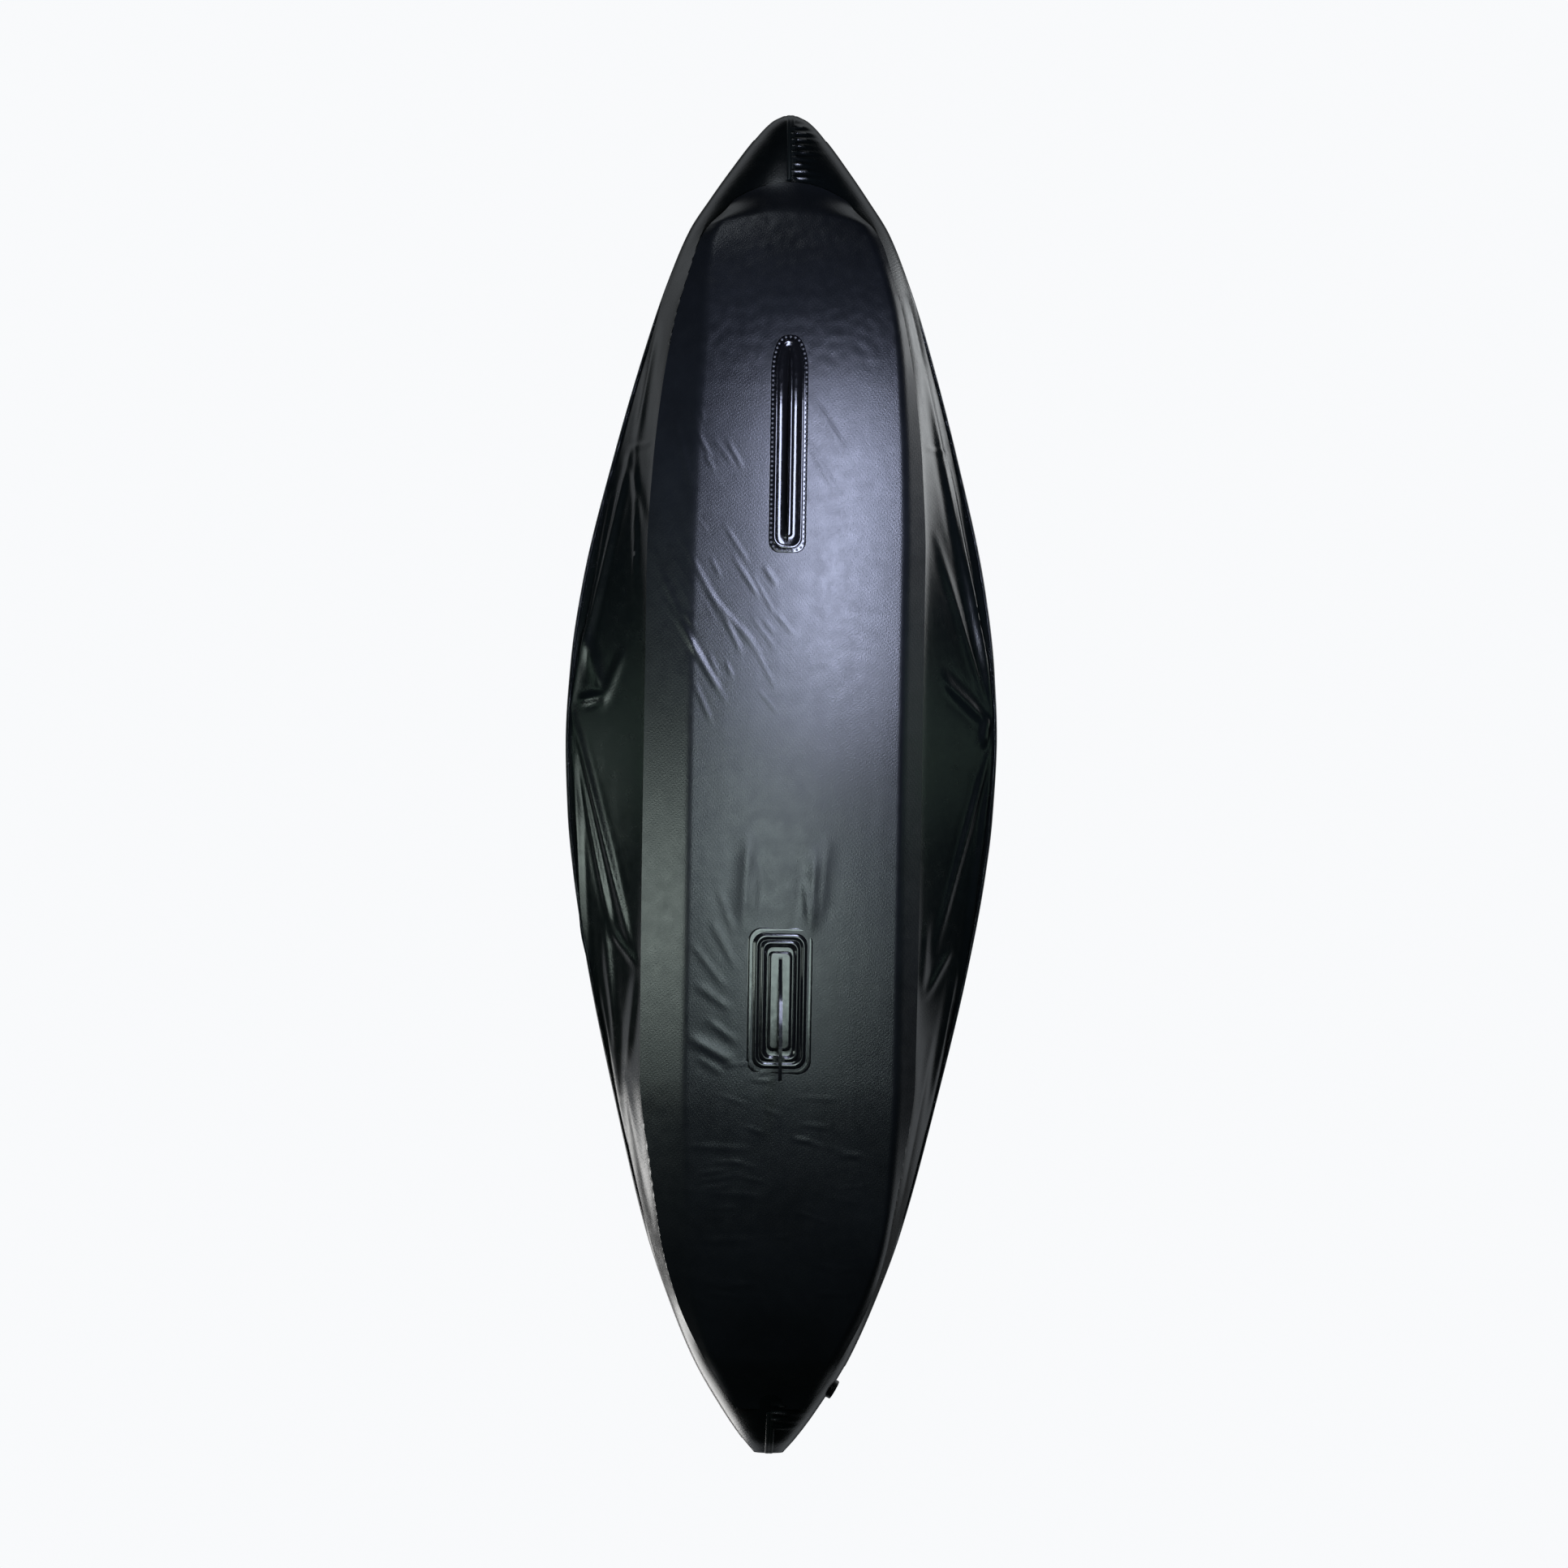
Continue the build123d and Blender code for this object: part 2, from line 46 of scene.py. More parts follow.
# Shape of the hull
hull = {
    "keel": 0.125,  # flat bottom above the skeg's tip
    "chamberWidth": 0.224,
    "endTaper": 0.022,  # narrowing of the side chambers at y 1.018
    "floorThick": 0.085,
    "lap": 0.005,  # side panel starts this far above the floor's edge
    "hollow": 0.86,  # 1 is a flat side panel, less is slack and hollow
    "stations": [  # y, half breadth, underside and top of the side chamber
        (1.498, 0.017, 0.262, 0.296), (1.486, 0.04, 0.238, 0.316), (1.442, 0.081, 0.2, 0.335),
        (1.378, 0.128, 0.16, 0.343), (1.306, 0.177, 0.128, 0.342), (1.234, 0.222, 0.106, 0.338),
        (1.126, 0.266, 0.088, 0.331), (1.018, 0.302, 0.074, 0.324), (0.73, 0.382, 0.06, 0.312),
        (0.442, 0.448, 0.056, 0.307), (0.26, 0.472, 0.055, 0.305), (0.1, 0.48, 0.055, 0.305),
        (-0.07, 0.473, 0.055, 0.305), (-0.2, 0.459, 0.055, 0.305), (-0.422, 0.421, 0.056, 0.306),
        (-0.71, 0.357, 0.061, 0.309), (-0.998, 0.284, 0.074, 0.314), (-1.142, 0.234, 0.088, 0.32),
        (-1.286, 0.173, 0.116, 0.326), (-1.394, 0.11, 0.156, 0.324), (-1.466, 0.06, 0.2, 0.314),
        (-1.498, 0.033, 0.236, 0.29)],
    "floor": [  # y, half width of the flat, rise, share of the bevel
        (1.338, 0.118, 0.126, 0.12), (1.26, 0.16, 0.09, 0.28), (1.14, 0.192, 0.052, 0.42),
        (1.018, 0.212, 0.028, 0.6), (0.87, 0.223, 0.012, 0.8), (0.7, 0.232, 0.003, 0.92),
        (0.5, 0.236, 0.0, 1.0), (0.0, 0.236, 0.0, 1.0), (-0.65, 0.236, 0.0, 0.95),
        (-0.84, 0.229, 0.009, 0.7), (-0.998, 0.218, 0.025, 0.5), (-1.142, 0.186, 0.05, 0.4),
        (-1.286, 0.128, 0.092, 0.25), (-1.392, 0.072, 0.14, 0.1)],
}


def clamp(v, lo=0.0, hi=1.0):
    return max(lo, min(hi, v))


def ease(v):
    v = clamp(v)
    return v * v * (3 - 2 * v)


def along(y, rows, col):  # smooth value of a column at station y
    if y >= rows[0][0]:
        return rows[0][col]
    if y <= rows[-1][0]:
        return rows[-1][col]
    for i in range(len(rows) - 1):
        if rows[i + 1][0] <= y <= rows[i][0]:
            break

    def slope(k):
        if k == 0 or k == len(rows) - 1:
            j = 1 if k == 0 else k
            return (rows[j][col] - rows[j - 1][col]) / (rows[j][0] - rows[j - 1][0])
        a = (rows[k][col] - rows[k - 1][col]) / (rows[k][0] - rows[k - 1][0])
        b = (rows[k + 1][col] - rows[k][col]) / (rows[k + 1][0] - rows[k][0])
        return 0.0 if a * b <= 0 else 2 * a * b / (a + b)

    h = rows[i + 1][0] - rows[i][0]
    t = (y - rows[i][0]) / h
    p, q = rows[i][col], rows[i + 1][col]
    m, n = slope(i) * h, slope(i + 1) * h
    return (2*t**3 - 3*t**2 + 1) * p + (t**3 - 2*t**2 + t) * m + (3*t**2 - 2*t**3) * q + (t**3 - t**2) * n


@functools.cache
def chamberSpan(y):  # inner and outer breadth, underside, top
    outer = along(y, hull["stations"], 1)
    width = min(hull["chamberWidth"] - hull["endTaper"] * (y / 1.018) ** 2, outer - 0.0002)
    low, top = along(y, hull["stations"], 2), along(y, hull["stations"], 3)
    return outer - width, outer, hull["keel"] + low, hull["keel"] + top


@functools.cache
def floorSize(y):  # flat, underside, breadth and height of the edge, top
    flat, rise, share = (along(y, hull["floor"], c) for c in (1, 2, 3))
    thick = hull["floorThick"] * (0.35 + 0.65 * min(1.0, (1.5 - abs(y)) / 0.6))
    bottom = hull["keel"] + rise
    top = bottom + thick
    if y < -1.27:  # at the stern the panel runs out flush with the chambers
        flush = hull["keel"] + along(y, hull["stations"], 2) + 0.0015
        bottom += (flush - bottom) * ease((-1.27 - y) / 0.11)
        top = max(top, bottom + 0.02)
    return flat, bottom, flat + 0.072 * share, min(bottom + 0.048 * share, top - 0.008), top


def noseShare(y):
    return ease((abs(y) - 0.9) / 0.35)


def chamberPoint(y, turn, side, proud=0.0):  # turn: 0 at the rim, 90 on top, 180 inside, -90 under
    inner, outer, low, top = chamberSpan(y)
    middle, level = (inner + outer) / 2, (low + top) / 2
    high, wide = (top - low) / 2 + proud, (outer - inner) / 2 + proud
    a = math.radians(turn)
    round3 = Vector((middle + wide * math.cos(a), 0, high * math.sin(a)))
    if abs(turn) <= 120:
        b = math.radians(turn * 0.75)
        nose = Vector((inner + (outer - inner + proud) * math.cos(b), 0, high * math.sin(b)))
    else:
        nose = Vector((inner, 0, high * math.copysign((180 - abs(turn)) / 60, turn)))
    p = round3.lerp(nose, noseShare(y))
    p.z += level
    if -172 < turn < -2:  # slack panel, straight to hollow between bilge and rim
        flat, bottom, bilge, rise, floorTop = floorSize(y)
        t = (p.x - bilge) / max(outer - bilge, 1e-4)
        lap = rise + hull["lap"]  # the side panel starts just behind the floor's edge
        line = lap + (level - lap) * clamp(t) ** hull["hollow"] + clamp(-t * 0.4, 0, 0.012)
        taper = (1 - ease((abs(y) - 0.95) / 0.33)) * ease((-2 - turn) / 14) * ease((turn + 172) / 34)
        p.z += (line - p.z) * taper
        tuck = ease((bilge + 0.014 - p.x) / 0.014) * (1 - ease((abs(y) - 1.2) / 0.08))
        p.z += (max(p.z, lap) - p.z) * tuck  # and keeps clear of the floor's edge towards the ends
    return Vector((side * p.x, y, p.z))


def noseUnder(x, y):  # underside of the closed ends at this width
    inner, outer, low, high = chamberSpan(y)
    s = clamp((abs(x) - inner) / max(outer - inner, 1e-4))
    return (low + high) / 2 - (high - low) / 2 * math.sqrt(1 - s * s)


# Mesh helpers
def ringLoft(bm, rings, closed=True):  # skin over rings of equal count, capped when closed
    count = len(rings[0])
    if closed:
        made = bmesh.ops.create_circle(bm, cap_ends=False, segments=count, radius=1.0)["verts"]
    else:
        made = [bm.verts.new(p) for p in rings[0]]
        for a, b in zip(made, made[1:]):
            bm.edges.new((a, b))
    for v, p in zip(made, rings[0]):
        v.co = p
    first, ring = list(made), list(made)
    own = set(ring)
    edges = [e for e in bm.edges if e.verts[0] in own and e.verts[1] in own]
    for points in rings[1:]:
        out = bmesh.ops.extrude_edge_only(bm, edges=edges)["geom"]
        fresh = {g for g in out if isinstance(g, bmesh.types.BMVert)}
        nextRing = []
        for v in ring:
            for e in v.link_edges:
                w = e.other_vert(v)
                if w in fresh:
                    nextRing.append(w)
                    break
        for v, p in zip(nextRing, points):
            v.co = p
        edges = [g for g in out if isinstance(g, bmesh.types.BMEdge)
                 and g.verts[0] in fresh and g.verts[1] in fresh]
        ring = nextRing
    if closed:
        bmesh.ops.contextual_create(bm, geom=first)
        bmesh.ops.contextual_create(bm, geom=ring)


def finishPiece(name, bm, body, material, replaced=(), sharp=50):
    bmesh.ops.remove_doubles(bm, verts=bm.verts, dist=0.00002)
    bmesh.ops.recalc_face_normals(bm, faces=bm.faces)
    for f in bm.faces:
        f.smooth = True
    for e in bm.edges:
        if len(e.link_faces) == 2 and e.calc_face_angle(0) > math.radians(sharp):
            e.smooth = False
    mesh = bpy.data.meshes.new(name)
    bm.to_mesh(mesh)
    bm.free()
    piece = bpy.data.objects.new(name, mesh)
    scene.collection.objects.link(piece)
    piece.data.materials.append(material)
    if body:  # a piece that runs between two bodies has none
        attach(piece, body)
    if replaced:
        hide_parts(*replaced)
    return piece


def roundedRect(w, h, r, n=6):  # corner arcs, anticlockwise from +x
    pts = []
    x, y = w / 2 - r, h / 2 - r
    for cx, cy, start in ((x, y, 0), (-x, y, 90), (-x, -y, 180), (x, -y, 270)):
        for k in range(n + 1):
            a = math.radians(start + 90 * k / n)
            pts.append((cx + r * math.cos(a), cy + r * math.sin(a)))
    return pts


# Materials
def newMaterial(name, color, roughness, **sockets):
    mat = bpy.data.materials.new(name)
    mat.use_nodes = True
    shader = mat.node_tree.nodes["Principled BSDF"]
    shader.inputs["Base Color"].default_value = (*color, 1)
    shader.inputs["Roughness"].default_value = roughness
    for key, value in sockets.items():
        shader.inputs[key].default_value = value
    return mat, mat.node_tree, shader


def addNode(tree, kind, **values):
    node = tree.nodes.new(kind)
    for key, value in values.items():
        if key in node.inputs:
            node.inputs[key].default_value = value
        else:
            setattr(node, key, value)
    return node


def setRange(node, fromMin, fromMax, toMin, toMax):
    for key, value in (("From Min", fromMin), ("From Max", fromMax), ("To Min", toMin), ("To Max", toMax)):
        node.inputs[key].default_value = value


def objectCoords(tree, scale=(1, 1, 1), turn=(0, 0, 0)):
    coords = addNode(tree, "ShaderNodeTexCoord")
    mapping = addNode(tree, "ShaderNodeMapping")
    mapping.inputs["Scale"].default_value = scale
    mapping.inputs["Rotation"].default_value = turn
    tree.links.new(coords.outputs["Object"], mapping.inputs["Vector"])
    return mapping.outputs["Vector"]


def stackBump(tree, shader, layers):  # layers of (height socket, distance, strength)
    last = None
    for height, distance, strength in layers:
        bump = addNode(tree, "ShaderNodeBump", Distance=distance, Strength=strength)
        tree.links.new(height, bump.inputs["Height"])
        if last:
            tree.links.new(last, bump.inputs["Normal"])
        last = bump.outputs["Normal"]
    tree.links.new(last, shader.inputs["Normal"])


def coatedFabric(name, color, roughness, patchy=0.25, emboss=0.5, slack=0.5):
    mat, tree, shader = newMaterial(name, color, roughness)
    shader.inputs["Specular IOR Level"].default_value = 0.5
    here = objectCoords(tree)
    grain = addNode(tree, "ShaderNodeTexVoronoi", Scale=430.0, feature="F1")  # pebbled emboss, 2.3 mm
    fine = addNode(tree, "ShaderNodeTexNoise", Scale=1400.0, Detail=2.0)
    bias = objectCoords(tree, turn=(0, 0, math.radians(38)))
    weaveA = addNode(tree, "ShaderNodeTexWave", Scale=46.0, Distortion=0.8)
    weaveA.bands_direction = "X"
    weaveB = addNode(tree, "ShaderNodeTexWave", Scale=46.0, Distortion=0.8)
    weaveB.bands_direction = "Y"
    waves = addNode(tree, "ShaderNodeTexNoise", Scale=9.0, Detail=4.0, Roughness=0.55)
    creased = addNode(tree, "ShaderNodeTexNoise", Scale=34.0, Detail=5.0, Roughness=0.6)
    for node in (grain, fine, waves, creased):
        tree.links.new(here, node.inputs["Vector"])
    tree.links.new(bias, weaveA.inputs["Vector"])
    tree.links.new(bias, weaveB.inputs["Vector"])
    weave = addNode(tree, "ShaderNodeMath", operation="MULTIPLY")
    tree.links.new(weaveA.outputs["Fac"], weave.inputs[0])
    tree.links.new(weaveB.outputs["Fac"], weave.inputs[1])
    stackBump(tree, shader, [
        (waves.outputs["Fac"], 0.003, 0.1 * slack), (creased.outputs["Fac"], 0.0012, 0.16 * slack),
        (weave.outputs["Value"], 0.0003, 0.6 * emboss), (grain.outputs["Distance"], 0.00045, 0.9 * emboss),
        (fine.outputs["Fac"], 0.0001, 0.3 * emboss)])
    tone = addNode(tree, "ShaderNodeTexNoise", Scale=4.5, Detail=6.0, Roughness=0.62)
    tree.links.new(here, tone.inputs["Vector"])
    ramp = addNode(tree, "ShaderNodeValToRGB")
    for stop, at, tint in zip(ramp.color_ramp.elements, (0.32, 0.7), (1 - patchy, 1 + patchy)):
        stop.position = at
        stop.color = (*[c * tint for c in color], 1)
    tree.links.new(tone.outputs["Fac"], ramp.inputs["Fac"])
    tree.links.new(ramp.outputs["Color"], shader.inputs["Base Color"])
    rub = addNode(tree, "ShaderNodeMapRange")
    setRange(rub, 0.3, 0.7, roughness - 0.035, roughness + 0.045)
    tree.links.new(creased.outputs["Fac"], rub.inputs["Value"])
    tree.links.new(rub.outputs["Result"], shader.inputs["Roughness"])
    return mat


def mouldedPlastic(name, color, roughness, grain=0.3):
    mat, tree, shader = newMaterial(name, color, roughness)
    here = objectCoords(tree)
    skin = addNode(tree, "ShaderNodeTexNoise", Scale=900.0, Detail=3.0)
    flow = addNode(tree, "ShaderNodeTexNoise", Scale=28.0, Detail=3.0)
    scuff = addNode(tree, "ShaderNodeTexNoise", Scale=75.0, Detail=7.0, Roughness=0.7)
    for node in (skin, flow, scuff):
        tree.links.new(here, node.inputs["Vector"])
    stackBump(tree, shader, [(flow.outputs["Fac"], 0.0008, 0.25), (skin.outputs["Fac"], 0.00008, grain)])
    wear = addNode(tree, "ShaderNodeMapRange")
    setRange(wear, 0.35, 0.75, roughness, roughness + 0.14)
    tree.links.new(scuff.outputs["Fac"], wear.inputs["Value"])
    tree.links.new(wear.outputs["Result"], shader.inputs["Roughness"])
    return mat


def wovenWebbing(name, color):
    mat, tree, shader = newMaterial(name, color, 0.72)
    shader.inputs["Sheen Weight"].default_value = 0.25
    here = objectCoords(tree, turn=(0, 0, math.radians(8)))
    warp = addNode(tree, "ShaderNodeTexWave", Scale=210.0, Distortion=0.4)
    warp.bands_direction = "X"
    weft = addNode(tree, "ShaderNodeTexWave", Scale=330.0, Distortion=0.4)
    weft.bands_direction = "Y"
    for node in (warp, weft):
        tree.links.new(here, node.inputs["Vector"])
    stackBump(tree, shader, [(warp.outputs["Fac"], 0.0003, 0.6), (weft.outputs["Fac"], 0.0002, 0.6)])
    return mat


finishes = {
    "hull": {"color": (0.0075, 0.0085, 0.0105), "roughness": 0.31, "slack": 0.25, "emboss": 0.35},
    "side": {"color": (0.0035, 0.0048, 0.0052), "roughness": 0.24, "slack": 0.3, "emboss": 0.3},
    "deck": {"color": (0.085, 0.115, 0.145), "roughness": 0.46, "slack": 0.5, "emboss": 0.5},
    "seat": {"color": (0.07, 0.09, 0.11), "roughness": 0.5, "slack": 0.5, "emboss": 0.5},
    "tape": {"color": (0.009, 0.012, 0.012), "roughness": 0.3, "slack": 0.5, "emboss": 0.25},
}
hullFabric = coatedFabric("hull coated fabric", **finishes["hull"])
sideFabric = coatedFabric("side coated fabric", **finishes["side"])
deckFabric = coatedFabric("deck coated fabric", **finishes["deck"])
seatFabric = coatedFabric("seat coated fabric", **finishes["seat"])
tapeFabric = coatedFabric("welded tape", **finishes["tape"])
finPlastic = mouldedPlastic("fin plastic", (0.005, 0.005, 0.006), 0.045, grain=0.04)
# the weld dots are dark; their grey colour is a painted highlight that makes them show on the black patch
weldDotsPaintedHighlight = mouldedPlastic("weld dots", (0.085, 0.085, 0.092), 0.22, grain=0.04)
skegPlastic = mouldedPlastic("skeg plastic", (0.006, 0.006, 0.007), 0.09, grain=0.06)
valvePlastic = mouldedPlastic("valve plastic", (0.02, 0.02, 0.022), 0.38)
bucklePlastic = mouldedPlastic("buckle plastic", (0.022, 0.022, 0.023), 0.42)
gripRubber = mouldedPlastic("grip rubber", (0.024, 0.024, 0.026), 0.58, grain=0.5)
rubberBlack = mouldedPlastic("diaphragm rubber", (0.03, 0.03, 0.032), 0.62, grain=0.4)
webbing = wovenWebbing("black webbing", (0.016, 0.016, 0.018))
ringSteel, steelTree, steelShader = newMaterial("ring steel", (0.6, 0.6, 0.61), 0.26, Metallic=1.0)
brushed = addNode(steelTree, "ShaderNodeTexNoise", Scale=420.0, Detail=3.0)
steelTree.links.new(objectCoords(steelTree, scale=(1, 0.06, 1)), brushed.inputs["Vector"])
stackBump(steelTree, steelShader, [(brushed.outputs["Fac"], 0.00006, 0.4)])
print("materials made")

# Creases in the skin
# Each crease in millimetres: start x, y, end x, y, half width, height; x towards starboard.
creases = {
    "starboard": [
        (468, 165, 345, 742, 6, 6), (470, 165, 385, 640, 5, 3.5), (336, 742, 330, 60, 4.5, 5.5),
        (336, 742, 290, 1020, 6, 4), (468, 160, 318, -408, 7, 6.5), (464, 120, 425, -500, 6, 4.5),
        (455, 60, 372, -330, 5, 4), (372, -330, 316, -408, 6, 5), (316, -408, 335, -640, 7, 5),
        (440, 330, 400, 190, 10, 5), (400, 190, 452, 178, 7, 4.5), (350, 300, 405, 160, 9, 4),
        (345, 742, 300, 748, 6, 3.5), (352, 720, 305, 560, 8, 3.5), (318, 600, 268, 330, 9, 3),
        (390, -300, 345, -700, 7, 4), (340, -640, 265, -1000, 8, 3.5), (395, -440, 330, -800, 6, 3.5)],
    "port": [
        (470, 150, 300, 940, 7, 6), (472, 155, 355, 742, 6, 5), (468, 140, 330, 560, 8, 4.5),
        (466, 135, 320, 270, 10, 5), (470, 165, 400, 520, 6, 4), (470, 110, 345, -365, 7, 6.5),
        (472, 90, 410, -460, 6, 5), (455, 160, 450, 90, 8, 6), (325, -270, 318, -470, 8, 5.5),
        (385, -360, 325, -470, 7, 4.5), (355, 742, 300, 750, 6, 3.5), (300, 930, 262, 1090, 7, 3.5),
        (400, -400, 335, -760, 7, 4), (345, -560, 270, -980, 8, 3.5)],
    "bottom": [
        (74, -110, 84, -325, 15, 2.2), (56, -190, 60, -300, 9, 0.7), (-74, -140, -64, -335, 13, 2.4),
        (-102, -110, -90, -300, 13, 1.2), (-50, -210, -60, -300, 6, 0.8), (200, -350, 120, -450, 7.5, 0.8),
        (190, -440, 105, -500, 8, 0.9), (155, -300, 96, -410, 7, 0.7), (200, -560, 100, -615, 11, 2.2),
        (185, -600, 120, -640, 8, 1.1), (160, -520, 92, -570, 7, 0.9), (140, -230, 104, -330, 6, 0.6),
        (285, 480, 190, 270, 4.5, 1.3), (265, 400, 150, 210, 4.5, 1.2), (245, 560, 120, 330, 5, 1.1),
        (170, 420, 60, 290, 4.5, 1), (230, 350, 130, 180, 4.5, 1.1), (250, 800, 210, 640, 5, 1.1),
        (-50, 850, -120, 740, 6, 0.7), (-40, 760, -110, 640, 6, 0.6), (205, -800, 60, -805, 6, 0.7),
        (190, -900, 20, -910, 7, 0.7), (170, -1010, 30, -1005, 7, 0.7), (150, -1100, 20, -1110, 7, 0.7)],
}
for rows in creases.values():
    rows[:] = [tuple(v / 1000 for v in row) for row in rows]


def creasesNear(y, which):  # the creases that reach this station
    near = []
    for crease in creases[which]:
        lo, hi = sorted((crease[1], crease[3]))
        reach = 0.12 * (hi - lo) + crease[4] * 4 + 0.01
        if lo - reach < y < hi + reach:
            near.append(crease)
    return near


def creaseHeight(x, y, near):
    total = 0.0
    for x0, y0, x1, y1, half, high in near:
        dx, dy = x1 - x0, y1 - y0
        t = ((x - x0) * dx + (y - y0) * dy) / (dx * dx + dy * dy)
        if -0.12 < t < 1.12:
            s = clamp(t)
            wander = 0.006 * noise.noise(Vector((x0 * 40, y * 9, y1 * 30)))
            far = math.hypot(x - (x0 + dx * s), y - (y0 + dy * s)) - wander * 0.5
            if abs(far) < half * 4:
                fade = ease((t + 0.12) / 0.45) * ease((1.12 - t) / 0.45)
                k = abs(far) / half  # a sharp ridge with a soft foot and a hollow beside it
                ridge = 0.72 * math.exp(-k * k) + 0.28 * math.exp(-k * 1.1)
                total += high * fade * (ridge - 0.16 * math.exp(-((k - 2.3) ** 2)))
    return total


# Side chambers
chamber = {"around": 148, "rows": 600, "ripple": 0.0006}


def rowStations(rows, start, stop):  # closer together towards both tips
    out = []
    for i in range(rows + 1):
        t = i / rows
        s = 0.72 * t + 0.28 * (0.5 - 0.5 * math.cos(math.pi * t))
        out.append(start + (stop - start) * s)
    return out


def chamberTurns(count):  # closer together on the slack underside
    out = []
    for i in range(count):
        t = i / count
        out.append(-180 + 360 * (t + 0.085 * math.sin(2 * math.pi * (t + 0.01))))
    return out


def turnsAlongBilge(y, turns):  # slides the points so that one line of them follows the bilge
    bilge = floorSize(y)[2]
    lowTurn, highTurn = -150.0, -60.0
    for step in range(18):
        half = (lowTurn + highTurn) / 2
        if chamberPoint(y, half, 1, -0.0004).x < bilge:
            lowTurn = half
        else:
            highTurn = half
    fixed = min(turns, key=lambda turn: abs(turn + 120))
    moved = fixed + (highTurn - fixed) * (1 - ease((abs(y) - 1.24) / 0.12))
    slid = []
    for turn in turns:
        if turn <= fixed:
            slid.append(-180 + (turn + 180) * (moved + 180) / (fixed + 180))
        elif turn < 0:
            slid.append(turn * moved / fixed)
        else:
            slid.append(turn)
    return slid


def sideChamber(side):
    which = "starboard" if side > 0 else "port"
    bm = bmesh.new()
    turns = chamberTurns(chamber["around"])
    rings = []
    for y in rowStations(chamber["rows"], 1.4978, -1.4978):
        ring = []
        near = creasesNear(y, which)
        for turn in turnsAlongBilge(y, turns):
            p = chamberPoint(y, turn, side, -0.0004)
            if -100 < turn < 8:
                out = Vector((side * math.cos(math.radians(turn)), 0, math.sin(math.radians(turn))))
                rimFade = ease((turn + 100) / 14) * ease((6 - turn) / 10)
                p += out * creaseHeight(abs(p.x), y, near) * rimFade
                p += out * chamber["ripple"] * rimFade * noise.noise(Vector((p.x * 26, y * 7, side * 3)))
            if -125 <= turn < -25 and abs(y) > 1.27 and side < 0:  # puckers beside the centre seam
                p.z -= pucker(p.x, y)
            if turn > 20:
                p += Vector((0, 0, 1)) * 0.001 * noise.noise(Vector((p.x * 14, y * 6, 9)))
            ring.append(p)
        rings.append(ring)
    ringLoft(bm, rings)
    finishPiece(which + "_chamber_skin", bm, "hull", sideFabric, (which + "_side_chamber",))


nosePucker = {  # first and last y, count, reach, height
    "bow": (1.47, 1.35, 9, 0.03, 0.0052), "stern": (-1.384, -1.434, 4, 0.035, 0.0042)}


def pucker(x, y):  # short crosswise tucks where the two sides are welded
    total = 0.0
    for first, last, count, reach, high in nosePucker.values():
        for k in range(count):
            at = first + (last - first) * k / (count - 1)
            wide = reach * (0.7 + 0.6 * ((k * 37) % 10) / 10)
            if abs(y - at) < 0.012:
                crosswise = math.exp(-((y - at + 0.05 * (abs(x) - 0.02)) / 0.0032) ** 2)
                total += high * crosswise * math.exp(-(abs(abs(x) - 0.018) / wide) ** 2)
    return total


for side in (1, -1):
    sideChamber(side)
print("side chambers made")

# Floor chamber
floorShape = {"rows": 540, "under": 140, "over": 30, "beams": 5, "beamRise": 0.012, "edgeRound": 0.01,
              "offset": 0.027, "crown": 0.004, "bowEnd": 1.3378, "sternEnd": -1.3918}


def panelEdge(x, y, flat):  # the bottom panel is sewn in a little to port of the middle
    off = floorShape["offset"] * (1 - ease((abs(y) - 0.95) / 0.35))
    return flat - off if x > 0 else flat + off


def bottomHeight(x, y):  # underside of the floor chamber
    flat, bottom, out, up, top = floorSize(y)
    edge = min(panelEdge(x, y, flat), out - 0.012)
    a = abs(x)
    slope = (up - bottom) / max(out - edge, 1e-4)
    rise = max(0.0, a - edge) * slope
    soft = floorShape["edgeRound"]
    if abs(a - edge) < soft:  # the panel's edge is welded, so its fold is tight
        k = (a - edge + soft) / (2 * soft)
        rise = k * k * soft * slope
    crown = floorShape["crown"] * max(0.0, 1 - (a / edge) ** 2) * (1 - ease((abs(y) - 1.0) / 0.3))
    return bottom + rise - crown + floorShape["crown"] * 0.25


def bowArch(share, y):  # the panel's front end is arched
    return 0.04 * share ** 2 * ease((y - 1.18) / 0.15)


